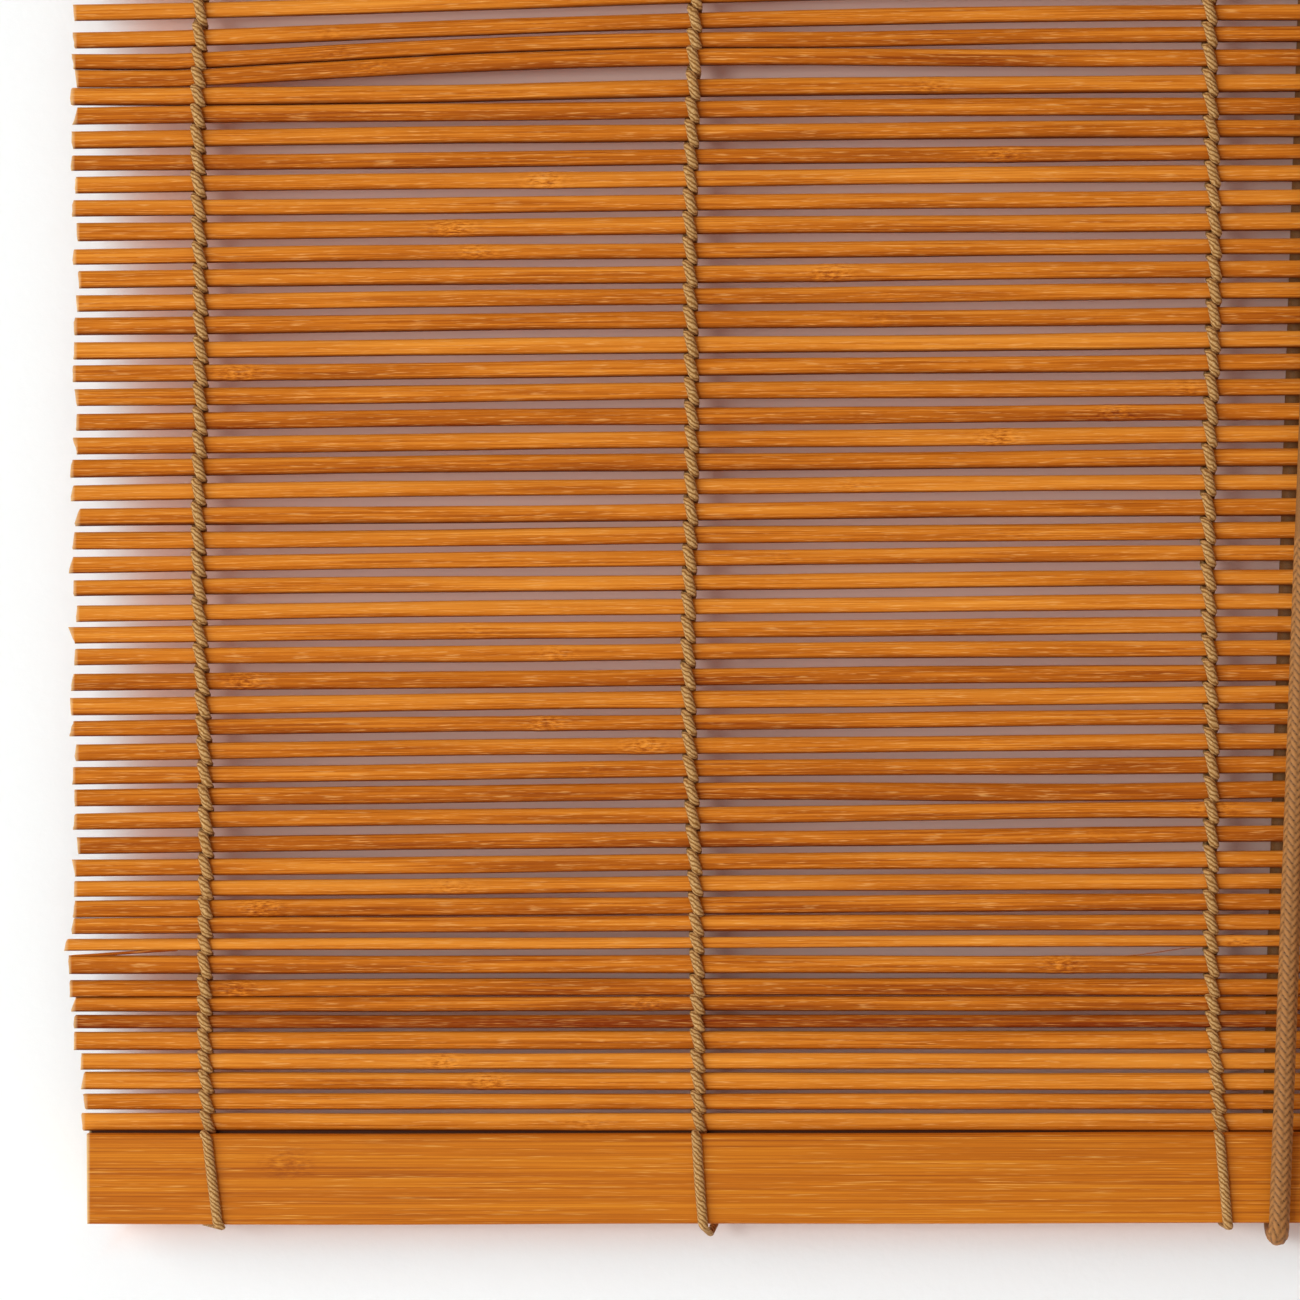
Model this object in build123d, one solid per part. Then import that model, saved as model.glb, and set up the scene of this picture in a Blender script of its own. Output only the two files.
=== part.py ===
from build123d import *
import os

# Bamboo roll-up blind, hung on a wall by two cranked hangers.
# X runs along the blind, +Y goes into the wall and +Z is up. The origin lies on the wall plane,
# midway between the two hanger holes, and the blind's front faces -Y. All lengths are millimetres.

# Reeds of the mat
reed_count = 121
reed_length = 900.0
reed_height = 4.1
reed_depth = 3.6
reed_bevel = 1.05
reed_pitch = 5.4
packed_count = 10
packed_pitch = 4.6

# Flat bamboo battens, a front and a rear slat at the head and at the foot
batten_inset = 3.0
batten_height = 21.0
batten_thickness = 5.0
batten_edge_radius = 0.8
batten_gap = 1.0
wall_gap = 7.0

# Warp twines, with their places along the reeds
warp_place_shares = (0.0325, 0.16, 0.295, 0.43, 0.564, 0.6985, 0.833, 0.9675)
twine_width = 2.2
twine_thickness = 1.8
crossing_depth_share = 0.8

# Cranked hangers
hanger_spread_share = 0.8
hanger_width = 14.0
hanger_thickness = 1.5
hanger_hole_radius = 2.75
hanger_hole_rise = 12.0
hanger_end = 8.0
hanger_lap = 17.0
hanger_bend_radius = 2.0

# Screws
screw_radius = 1.4
screw_bite = 4.2
screw_head_radius = 2.9
screw_head_height = 1.5
screw_head_edge = 0.7
hanger_screw_spacing = 9.0

# Pulleys
pulley_spread_share = 0.3
pulley_drop = 14.0
plate_thickness = 1.2
yoke_width = 16.0
yoke_bend_radius = 0.8
ear_length = 42.0
ear_height = 11.0
ear_screw_inset = 5.0
sheave_width = 6.6
sheave_rim_radius = 9.8
track_radius = 9.2
hub_radius = 3.6
hub_rise = 0.1
sheave_gap = 0.3
pin_radius = 2.0
pin_head_radius = 3.2
pin_head_height = 1.3

# Lift cords
cord_radius = 2.4
cord_gap = 0.3
groove_gap = 0.45
web_gap = 0.6
loop_shift = 25.0
loop_skew = 3.4
wrap_share = 0.99
anchor_drop = 11.0

# Staples and the knots above them
staple_wire_radius = 0.55
staple_bite = 3.5
staple_bend_radius = 1.1
staple_rise = 2.0
knot_half_width = 4.4
knot_half_depth = 2.5
knot_half_height = 3.4
knot_flat_share = 0.75

# Wooden pull and the knot in it
pull_drop = 320.0
pull_height = 28.0
pull_neck_radius = 7.2
pull_belly_radius = 9.6
pull_foot_radius = 8.0
pull_belly_share = 0.6
pull_shoulder_depth = 12.0
pull_cavity_radius = 6.5
pull_knot_height = 11.0
pull_knot_flat_radius = 5.9
tail_gap = 0.4

# Fits
fit_gap = 0.05
overrun = 5.0

# Places that follow from the sizes above
batten_length = reed_length - 2 * batten_inset
hanger_spacing = hanger_spread_share * reed_length
pulley_spacing = pulley_spread_share * reed_length
pulley_screw_spacing = ear_length - 2 * ear_screw_inset

batten_back_y = -wall_gap
mat_y = batten_back_y - batten_thickness
batten_front_y = mat_y - batten_thickness
head_top_z = -hanger_hole_rise
head_bottom_z = head_top_z - batten_height
first_reed_z = head_bottom_z - batten_gap - reed_height / 2
open_run = (reed_count - 1 - packed_count) * reed_pitch
last_reed_z = first_reed_z - open_run - packed_count * packed_pitch
foot_top_z = last_reed_z - reed_height / 2 - batten_gap
foot_bottom_z = foot_top_z - batten_height

plate_front_y = batten_front_y - plate_thickness
track_step = sheave_width + sheave_gap
inner_track_y = plate_front_y - sheave_gap - sheave_width / 2
outer_track_y = inner_track_y - track_step
axle_z = head_top_z - pulley_drop
track_top_z = axle_z + track_radius
left_pulley_x = -pulley_spacing / 2
right_pulley_x = pulley_spacing / 2

cord_offset = cord_radius + cord_gap
rear_cord_y = batten_back_y + cord_offset
front_cord_y = batten_front_y - cord_offset
cord_foot_z = foot_bottom_z - cord_offset
anchor_z = head_top_z - anchor_drop + staple_rise + staple_wire_radius
staple_z = head_top_z - anchor_drop
foot_turn_radius = cord_offset + batten_edge_radius

tail_x = right_pulley_x + track_radius
pull_y = (inner_track_y + outer_track_y) / 2
tail_offset = cord_radius + tail_gap / 2
pull_top_z = axle_z - pull_drop
pull_shoulder_z = pull_top_z - pull_shoulder_depth
pull_hole_radius = tail_offset + cord_radius + cord_gap

left_loop_x = left_pulley_x - track_radius - loop_shift
right_loop_x = right_pulley_x - track_radius
left_anchor_x = left_pulley_x - track_radius - loop_skew
right_anchor_x = right_loop_x - loop_skew
anchor_places = (left_anchor_x, right_anchor_x)

# Routes of the lift cords: from the knot at the head down the back, round the foot battens,
# up the front, over the sheaves and down to the pull
left_cord_points = [
    (left_anchor_x, rear_cord_y, anchor_z),
    (left_loop_x - loop_skew, rear_cord_y, cord_foot_z),
    (left_loop_x, front_cord_y, cord_foot_z),
    (left_pulley_x - track_radius, inner_track_y, track_top_z),
    (tail_x, inner_track_y, track_top_z),
    (tail_x, pull_y + tail_offset, pull_shoulder_z),
]
right_cord_points = [
    (right_anchor_x, rear_cord_y, anchor_z),
    (right_loop_x - loop_skew, rear_cord_y, cord_foot_z),
    (right_loop_x, front_cord_y, cord_foot_z),
    (right_pulley_x - track_radius, outer_track_y, track_top_z),
    (tail_x, outer_track_y, track_top_z),
    (tail_x, pull_y - tail_offset, pull_shoulder_z),
]


def along_y(solid, x, y, z):
    """Turn a solid made along Z so that its top faces the viewer, and put its middle at a place."""
    return Pos(x, y, z) * Rot(90, 0, 0) * solid


def warp_x(number):
    """Place of a warp along the blind."""
    return (warp_place_shares[number] - 0.5) * reed_length


def reed_places():
    """Height of each reed, from the head down. The last ones are packed closer."""
    open_count = reed_count - packed_count
    heights = [first_reed_z - reed_pitch * number for number in range(open_count)]
    heights += [heights[-1] - packed_pitch * (number + 1) for number in range(packed_count)]
    return heights


def reed_mat():
    """All reeds, held together where the strands of the two edge warps cross between them."""
    section = Plane.YZ * chamfer(Rectangle(reed_depth, reed_height).vertices(), reed_bevel)
    reed = extrude(section, reed_length / 2, both=True)
    reeds = [Pos(0, mat_y, height) * reed for height in reed_places()]
    crossing_depth = (reed_depth - 2 * reed_bevel) * crossing_depth_share
    crossings = Box(twine_width, crossing_depth, first_reed_z - last_reed_z)
    middle_z = (first_reed_z + last_reed_z) / 2
    edges = [Pos(warp_x(number), mat_y, middle_z) * crossings for number in (0, -1)]
    return reeds[0] + reeds[1:] + edges


def warp_twine(number):
    """One warp: its front and rear strands along the reeds, looped round the head and foot battens."""
    batten_half = batten_thickness
    reed_half = reed_depth / 2
    front = [
        (mat_y - batten_half, head_top_z),
        (mat_y - batten_half, head_bottom_z),
        (mat_y - reed_half, first_reed_z),
        (mat_y - reed_half, last_reed_z),
        (mat_y - batten_half, foot_top_z),
        (mat_y - batten_half, foot_bottom_z),
    ]
    rear = [(2 * mat_y - y, z) for y, z in reversed(front)]
    inside = make_face(Polyline(*front, *rear, close=True))
    outside = offset(inside, twine_thickness, kind=Kind.INTERSECTION)
    loop = extrude(Plane.YZ * (outside - inside), twine_width / 2, both=True)
    return Pos(warp_x(number), 0, 0) * loop


def batten(back_y, bottom_z):
    """A flat bamboo slat with slightly rounded long edges."""
    slat = Box(batten_length, batten_thickness, batten_height)
    slat = fillet(slat.edges().filter_by(Axis.X), batten_edge_radius)
    return Pos(0, back_y - batten_thickness / 2, bottom_z + batten_height / 2) * slat


def screw(x, y, z, turn):
    """A pan head screw whose head sits on the plane y. It faces -Y after a quarter turn about X."""
    head = Pos(0, 0, screw_head_height / 2) * Cylinder(screw_head_radius, screw_head_height)
    head = fillet(head.edges().group_by(Axis.Z)[-1], screw_head_edge)
    shank = Pos(0, 0, -screw_bite / 2) * Cylinder(screw_radius, screw_bite)
    return Pos(x, y, z) * Rot(turn, 0, 0) * (head + shank)


def hanger_screw_places():
    """Screws of the hangers: two in each lap, one above the other."""
    middle_z = head_top_z - hanger_lap / 2
    sides = (-hanger_spacing / 2, hanger_spacing / 2)
    offsets = (-hanger_screw_spacing / 2, hanger_screw_spacing / 2)
    return [(x, middle_z + rise) for x in sides for rise in offsets]


def pulley_screw_places():
    """Screws of the pulley brackets: one in each ear."""
    sides = (left_pulley_x, right_pulley_x)
    offsets = (-pulley_screw_spacing / 2, pulley_screw_spacing / 2)
    return [(x + shift, axle_z) for x in sides for shift in offsets]


def screw_hole(x, z, y):
    """A round hole along Y through whatever stands at a screw."""
    depth = 2 * (screw_bite + fit_gap)
    return along_y(Cylinder(screw_radius + fit_gap, depth), x, y, z)


def hanger_screws():
    """The four hanger screws, driven from the wall side."""
    face_y = batten_back_y + hanger_thickness
    return Compound([screw(x, face_y, z, -90).solid() for x, z in hanger_screw_places()])


def pulley_screws():
    """The four pulley screws, driven from the front."""
    return Compound([screw(x, plate_front_y, z, 90).solid() for x, z in pulley_screw_places()])


def staple(x):
    """A wire staple over the rear cord, with its legs in the rear head slat."""
    half_width = cord_offset + staple_wire_radius
    leg_y = batten_back_y - staple_bite
    crown_y = rear_cord_y + cord_offset + staple_wire_radius
    path = FilletPolyline(
        (x - half_width, leg_y, staple_z),
        (x - half_width, crown_y, staple_z),
        (x + half_width, crown_y, staple_z),
        (x + half_width, leg_y, staple_z),
        radius=staple_bend_radius,
    )
    return sweep((path ^ 0) * Circle(staple_wire_radius), path)


def staple_hole(x):
    """The two round holes of one staple's legs."""
    half_width = cord_offset + staple_wire_radius
    depth = 2 * (staple_bite + fit_gap)
    leg = Cylinder(staple_wire_radius + fit_gap, depth)
    sides = (-half_width, half_width)
    return [along_y(leg, x + side, batten_back_y, staple_z) for side in sides]


def head_front():
    """Front head slat, with the pilot holes of the pulley screws."""
    slat = batten(mat_y, head_bottom_z)
    return slat - [screw_hole(x, z, plate_front_y) for x, z in pulley_screw_places()]


def head_rear():
    """Rear head slat, with the pilot holes of the hanger screws and of the staples."""
    face_y = batten_back_y + hanger_thickness
    slat = batten(batten_back_y, head_bottom_z)
    slat -= [screw_hole(x, z, face_y) for x, z in hanger_screw_places()]
    for x in anchor_places:
        slat -= staple_hole(x)
    return slat


def hanger(x):
    """A steel strap, lapped on the rear head slat and cranked back to the wall, with a round hole."""
    crank = wall_gap - hanger_thickness
    back = FilletPolyline(
        (batten_back_y + hanger_thickness, head_top_z - hanger_lap),
        (batten_back_y + hanger_thickness, head_top_z),
        (0, head_top_z + crank),
        (0, hanger_end),
        radius=hanger_bend_radius,
    )
    outline = back.wire().offset_2d(hanger_thickness, side=Side.LEFT)
    strap = extrude(Plane.YZ * make_face(outline), hanger_width / 2, both=True)
    corners = strap.edges().filter_by(Axis.Y).group_by(Axis.Z)
    strap = fillet(corners[0] + corners[-1], hanger_width / 2 - hanger_thickness)
    strap -= along_y(Cylinder(hanger_hole_radius, wall_gap), 0, 0, 0)
    for place_x, place_z in hanger_screw_places()[:2]:
        strap -= screw_hole(0, place_z, batten_back_y)
    return Pos(x, 0, 0) * strap


def pulley_bracket(x, last_track_y):
    """A bent steel yoke with two screw ears, open to the cords below and at the sides."""
    front_y = last_track_y - sheave_width / 2 - sheave_gap
    web_z = track_top_z + cord_radius + web_gap
    low_z = axle_z - yoke_width / 2
    inner = FilletPolyline(
        (plate_front_y, low_z),
        (plate_front_y, web_z),
        (front_y, web_z),
        (front_y, low_z),
        radius=yoke_bend_radius,
    )
    outline = inner.wire().offset_2d(plate_thickness, side=Side.RIGHT)
    yoke = extrude(Plane.YZ * make_face(outline), yoke_width / 2, both=True)
    ends = yoke.edges().filter_by(Axis.Y).group_by(Axis.Z)[0]
    yoke = fillet(ends, yoke_width / 2 - plate_thickness)
    ears = along_y(extrude(SlotOverall(ear_length, ear_height), plate_thickness), 0, batten_front_y, axle_z)
    bracket = Pos(x, 0, 0) * (yoke + ears)
    reach = 2 * (batten_front_y - front_y + overrun)
    bracket -= along_y(Cylinder(pin_radius + fit_gap, reach), x, batten_front_y, axle_z)
    for place_x, place_z in pulley_screw_places():
        bracket -= screw_hole(place_x, place_z, plate_front_y)
    return bracket


def sheave(x, track_y):
    """A grooved wheel with a bored hub, turning about Y."""
    wheel = Cylinder(sheave_rim_radius, sheave_width)
    wheel += Cylinder(hub_radius, sheave_width + 2 * hub_rise)
    wheel -= Torus(track_radius, cord_radius + groove_gap)
    wheel -= Cylinder(pin_radius + fit_gap, sheave_width + overrun)
    return along_y(wheel, x, track_y, axle_z)


def axle_pin(x, last_track_y):
    """A riveted pin through both plates of a bracket."""
    front_y = last_track_y - sheave_width / 2 - sheave_gap - plate_thickness
    length = batten_front_y - front_y
    head = Cylinder(pin_head_radius, pin_head_height)
    head = fillet(head.edges().group_by(Axis.Z)[-1], pin_head_height / 2)
    shaft = Pos(0, 0, -(pin_head_height + length) / 2) * Cylinder(pin_radius, length)
    return along_y(head + shaft, x, front_y - pin_head_height / 2, axle_z)


def lift_cord(points):
    """A cord along its route: straight runs, with arcs as tight as the foot edges and the sheaves."""
    wrap_radius = track_radius * wrap_share
    radii = [foot_turn_radius, foot_turn_radius, wrap_radius, wrap_radius]
    path = FilletPolyline(*points, radius=radii)
    cord = sweep((path ^ 0) * Circle(cord_radius), path)
    section = Face(Wire.make_circle(cord_radius)).area
    print("cord arcs", radii, "length", path.length, "volume share", cord.volume / (section * path.length))
    return cord


def anchor_knot(x):
    """The knot above a staple, flat where the cord enters it."""
    knot = scale(Sphere(1), by=(knot_half_width, knot_half_depth, knot_half_height))
    flat_z = -knot_half_height * knot_flat_share
    knot = split(knot, Plane.XY.offset(flat_z), keep=Keep.TOP)
    return Pos(x, rear_cord_y, anchor_z - flat_z) * knot


def pull():
    """The turned wooden pull, bored for both tails and hollowed for their knot."""
    belly_z = -pull_height * pull_belly_share
    outside = ThreePointArc((pull_neck_radius, 0), (pull_belly_radius, belly_z), (pull_foot_radius, -pull_height))
    inside = Polyline(
        (pull_foot_radius, -pull_height),
        (pull_cavity_radius, -pull_height),
        (pull_cavity_radius, -pull_shoulder_depth),
        (pull_hole_radius, -pull_shoulder_depth),
        (pull_hole_radius, 0),
        (pull_neck_radius, 0),
    )
    profile = Plane.XZ * make_face(Curve() + [outside, inside])
    return Pos(tail_x, pull_y, pull_top_z) * revolve(profile, Axis.Z)


def pull_knot():
    """The knot of both tails, seated under the shoulder of the pull."""
    radius = pull_cavity_radius - cord_gap
    side = ThreePointArc(
        (pull_knot_flat_radius, 0),
        (radius, -pull_knot_height / 2),
        (pull_knot_flat_radius, -pull_knot_height),
    )
    core = Polyline(
        (pull_knot_flat_radius, -pull_knot_height),
        (0, -pull_knot_height),
        (0, 0),
        (pull_knot_flat_radius, 0),
    )
    profile = Plane.XZ * make_face(Curve() + [side, core])
    return Pos(tail_x, pull_y, pull_shoulder_z) * revolve(profile, Axis.Z)


nodes = {
    "reed_mat": reed_mat(),
    "bottom_batten_front": batten(mat_y, foot_bottom_z),
    "bottom_batten_rear": batten(batten_back_y, foot_bottom_z),
    "head_batten_front": head_front(),
    "head_batten_rear": head_rear(),
    "hanger_left": hanger(-hanger_spacing / 2),
    "hanger_right": hanger(hanger_spacing / 2),
    "hanger_screws": hanger_screws(),
    "left_pulley_bracket": pulley_bracket(left_pulley_x, inner_track_y),
    "left_pulley_sheave": sheave(left_pulley_x, inner_track_y),
    "left_pulley_pin": axle_pin(left_pulley_x, inner_track_y),
    "right_pulley_bracket": pulley_bracket(right_pulley_x, outer_track_y),
    "right_pulley_inner_sheave": sheave(right_pulley_x, inner_track_y),
    "right_pulley_outer_sheave": sheave(right_pulley_x, outer_track_y),
    "right_pulley_pin": axle_pin(right_pulley_x, outer_track_y),
    "pulley_screws": pulley_screws(),
    "cord_staples": Compound([staple(x).solid() for x in anchor_places]),
    "anchor_knot_left": anchor_knot(left_anchor_x),
    "anchor_knot_right": anchor_knot(right_anchor_x),
    "lift_cord_left": lift_cord(left_cord_points),
    "lift_cord_right": lift_cord(right_cord_points),
    "wooden_pull": pull(),
    "pull_knot": pull_knot(),
}
for warp_number in range(len(warp_place_shares)):
    nodes[f"warp_twine_{warp_number + 1}"] = warp_twine(warp_number)

os.makedirs("parts", exist_ok=True)
for node_name, node_solid in nodes.items():
    export_step(node_solid, f"parts/{node_name}.step")
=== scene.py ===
"""Bamboo roll-up blind: the looks of its reeds, twine, battens, lift cords and fittings."""

import logging
import math
from dataclasses import dataclass, field
from enum import Enum

import bpy
import numpy as np
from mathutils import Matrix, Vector


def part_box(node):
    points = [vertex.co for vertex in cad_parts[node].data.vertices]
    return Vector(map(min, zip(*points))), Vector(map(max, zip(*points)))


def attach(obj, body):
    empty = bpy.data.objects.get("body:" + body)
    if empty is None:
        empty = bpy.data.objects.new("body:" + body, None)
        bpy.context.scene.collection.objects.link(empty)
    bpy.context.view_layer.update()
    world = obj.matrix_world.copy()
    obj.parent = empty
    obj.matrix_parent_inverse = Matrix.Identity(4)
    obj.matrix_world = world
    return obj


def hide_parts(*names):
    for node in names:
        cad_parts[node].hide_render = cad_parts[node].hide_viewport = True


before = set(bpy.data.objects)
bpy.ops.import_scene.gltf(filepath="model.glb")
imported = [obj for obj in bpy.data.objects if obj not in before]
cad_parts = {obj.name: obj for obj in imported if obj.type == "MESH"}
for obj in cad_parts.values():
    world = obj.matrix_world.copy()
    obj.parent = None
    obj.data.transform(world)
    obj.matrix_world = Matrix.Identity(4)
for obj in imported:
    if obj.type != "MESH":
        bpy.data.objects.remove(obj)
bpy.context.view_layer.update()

MM = 0.001
TURN = 2 * math.pi
BLIND = "blind"
GRAIN = "grain"

Array = np.ndarray
Material = bpy.types.Material
Mesh = bpy.types.Mesh
Tree = bpy.types.NodeTree
Pair = tuple[float, float]
Triple = tuple[float, float, float]
Socket = bpy.types.NodeSocket
Source = Socket | float | tuple[float, ...]
Surface = tuple[tuple[str, float], ...]

log = logging.getLogger("blind")


class Slot(Enum):
    """Material slots of the record."""

    REED = "stained_reed"
    SLAT = "bamboo_slat"
    TWINE = "twine"
    CORD = "braided_cord"
    STEEL = "zinc_steel"
    NYLON = "nylon"
    WOOD = "turned_wood"


def hex_linear(code: str) -> tuple[float, float, float, float]:
    """Turn an sRGB hex colour into linear light.

    Args:
        code: six hex digits, red first.

    Returns:
        Red, green, blue and an alpha of one.
    """
    share = np.array([int(code[start : start + 2], 16) for start in (0, 2, 4)]) / 255
    linear = np.where(share <= 0.04045, share / 12.92, ((share + 0.055) / 1.055) ** 2.4)
    return (*linear.tolist(), 1.0)


def feed(tree: Tree, node: bpy.types.Node, inputs: dict[int | str, object]) -> None:
    """Give a node's inputs their values and links.

    Args:
        tree: the node's tree.
        node: the node.
        inputs: for an input's name or number, a value, or the output socket that feeds it.
    """
    for key, value in inputs.items():
        if isinstance(value, Socket):
            tree.links.new(value, node.inputs[key])
        else:
            node.inputs[key].default_value = value


def add_node(
    tree: Tree,
    kind: str,
    settings: dict[str, object] | None = None,
    inputs: dict[int | str, object] | None = None,
) -> bpy.types.Node:
    """Add a shader node with its settings, values and links.

    Args:
        tree: node tree that gets the node.
        kind: Blender's type name of the node.
        settings: attributes of the node.
        inputs: values and links of its inputs, as for feed.

    Returns:
        The new node.
    """
    node = tree.nodes.new(kind)
    for name, value in (settings or {}).items():
        setattr(node, name, value)
    feed(tree, node, inputs or {})
    return node


@dataclass
class Tubes:
    """Tubes on one grid: a ring of points at each station along each path.

    The way along the path, crossed with the way round a ring, points outwards.
    """

    rings: Array
    along: Array
    around: Array
    closed: bool = False
    marks: dict[str, Array] = field(default_factory=dict)

    def mesh(self, name: str) -> Mesh:
        """Join neighbouring ring points into quads, and close the ends of an open tube.

        Args:
            name: name of the mesh.

        Returns:
            A mesh with a grain UV map (along, around), the marks as point attributes and sharp end edges.
        """
        count, stations, sides = self.rings.shape[:3]
        index = np.arange(count * stations * sides).reshape(count, stations, sides)
        here = index if self.closed else index[:, :-1]
        ahead = np.roll(index, -1, axis=1) if self.closed else index[:, 1:]
        quads = np.stack([here, ahead, np.roll(ahead, -1, axis=2), np.roll(here, -1, axis=2)], axis=-1)
        u_here, u_ahead = self.along[:, :-1], self.along[:, 1:]
        u = np.stack([u_here, u_ahead, u_ahead, u_here], axis=-1)[:, :, None, :]
        v_here, v_ahead = self.around[:, :-1], self.around[:, 1:]
        v = np.stack([v_here, v_here, v_ahead, v_ahead], axis=-1)[:, None, :, :]
        corners = [quads.reshape(-1)]
        grain = [np.stack(np.broadcast_arrays(u, v), axis=-1).reshape(-1, 2)]
        sizes = [np.full(quads.size // 4, 4)]
        if not self.closed:
            for station, turn in ((0, 1), (-1, -1)):
                corners.append(index[:, station, ::turn].reshape(-1))
                cap_u = np.repeat(self.along[:, station], sides)
                grain.append(np.stack([cap_u, self.around[:, :-1][:, ::turn].reshape(-1)], axis=-1))
                sizes.append(np.full(count, sides))
        return write_mesh(
            name,
            self.rings.reshape(-1, 3),
            np.concatenate(corners),
            np.concatenate(sizes),
            np.concatenate(grain),
            {key: np.broadcast_to(mark, index.shape).reshape(-1) for key, mark in self.marks.items()},
        )


def one_tube(rings: Array, along: Array, around: Array, **rest: object) -> Tubes:
    """Put a single tube on the grid. The rest is its marks and whether it is closed."""
    return Tubes(rings[None], along[None], around[None], **rest)


def write_mesh(
    name: str,
    points: Array,
    corners: Array,
    sizes: Array,
    grain: Array,
    marks: dict[str, Array],
    sharp_from: float = math.radians(62),
) -> Mesh:
    """Put whole arrays into a mesh.

    Args:
        name: name of the mesh.
        points: vertex places.
        corners: vertex number at each face corner, face after face.
        sizes: corner count of each face.
        grain: UV place at each face corner.
        marks: values at each vertex, by attribute name.
        sharp_from: angle between faces from which an edge is sharp.

    Returns:
        The finished mesh.
    """
    mesh = bpy.data.meshes.new(name)
    mesh.vertices.add(len(points))
    mesh.vertices.foreach_set("co", points.astype(np.float32).ravel())
    mesh.loops.add(len(corners))
    mesh.loops.foreach_set("vertex_index", corners.astype(np.int32))
    mesh.polygons.add(len(sizes))
    starts = np.concatenate([[0], np.cumsum(sizes)[:-1]])
    mesh.polygons.foreach_set("loop_start", starts.astype(np.int32))
    mesh.uv_layers.new(name=GRAIN).data.foreach_set("uv", grain.astype(np.float32).ravel())
    for key, values in marks.items():
        mesh.attributes.new(key, "FLOAT", "POINT").data.foreach_set("value", values.astype(np.float32))
    mesh.update(calc_edges=True)
    mesh.validate()
    mesh.set_sharp_from_angle(angle=sharp_from)
    return mesh


def place_piece(mesh: Mesh, material: Material, node: str) -> bpy.types.Object:
    """Show a mesh as a piece of the blind.

    Args:
        mesh: the piece's mesh, in the frame's own place.
        material: its finish.
        node: CAD node that the piece stands for.

    Returns:
        The piece, riding on the blind.
    """
    mesh.materials.append(material)
    piece = bpy.data.objects.new(mesh.name, mesh)
    bpy.context.scene.collection.objects.link(piece)
    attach(piece, BLIND)
    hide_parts(node)
    log.info("%s: %d faces", piece.name, len(mesh.polygons))
    return piece


def frames_along(points: Array, hint: Triple, closed: bool) -> tuple[Array, Array]:
    """Two directions across a path at each of its points.

    The side is the hint less its part along the path, made one long. The other is path cross side.

    Args:
        points: places along the path.
        hint: a direction that the path never takes.
        closed: whether the last point joins the first.

    Returns:
        The side directions and the ones across them.
    """
    if closed:
        run = np.roll(points, -1, axis=0) - np.roll(points, 1, axis=0)
    else:
        run = np.gradient(points, axis=0)
    run /= np.linalg.norm(run, axis=1, keepdims=True)
    side = np.asarray(hint) - run * (run @ np.asarray(hint))[:, None]
    side /= np.linalg.norm(side, axis=1, keepdims=True)
    return side, np.cross(run, side)


def wave(place: Array, reach: float, phase: Array | float) -> Array:
    """A sine wave from -1 to 1: the sine of a full turn times place over reach, plus the phase."""
    return np.sin(TURN * place / reach + phase)


def bell(place: Array, reach: float) -> Array:
    """A bell curve from 0 to 1: e to the power of minus the square of place over reach."""
    return np.exp(-((place / reach) ** 2))


def smooth_step(share: Array) -> Array:
    """A smooth step from 0 to 1: three times the square of the share less twice its cube."""
    return share**2 * (3 - 2 * share)


def signed_power(values: Array, power: Array | float) -> Array:
    """Raise the sizes of values to a power and keep their signs."""
    return np.sign(values) * np.abs(values) ** power


def rings_round(
    points: Array,
    side: Array,
    across: Array,
    half_width: Array,
    half_depth: Array,
    sides: int,
) -> Array:
    """Ellipses round a path: width times cosine along the side, less depth times sine across it.

    Args:
        points: places along the path.
        side: side direction at each place.
        across: direction across path and side.
        half_width: half width at each place, or at each ring point.
        half_depth: half depth, likewise.
        sides: points in a ring.

    Returns:
        Ring points as (stations, sides, 3).
    """
    turn = np.arange(sides) * TURN / sides
    out = half_width * np.cos(turn)
    up = half_depth * np.sin(turn)
    return points[:, None] + out[..., None] * side[:, None] - up[..., None] * across[:, None]


@dataclass(frozen=True)
class Ramp:
    """A rise from low at start to high at stop, level beyond them."""

    start: float = 0.0
    stop: float = 1.0
    low: float = 0.0
    high: float = 1.0
    curve: str = "LINEAR"


@dataclass(frozen=True)
class Lumps:
    """A noise: the size of its lumps, or that along each axis, its detail and how rough it is."""

    size: float | Triple
    detail: float
    roughness: float = 0.5
    distortion: float = 0.0
    space: str = "3D"


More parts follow.
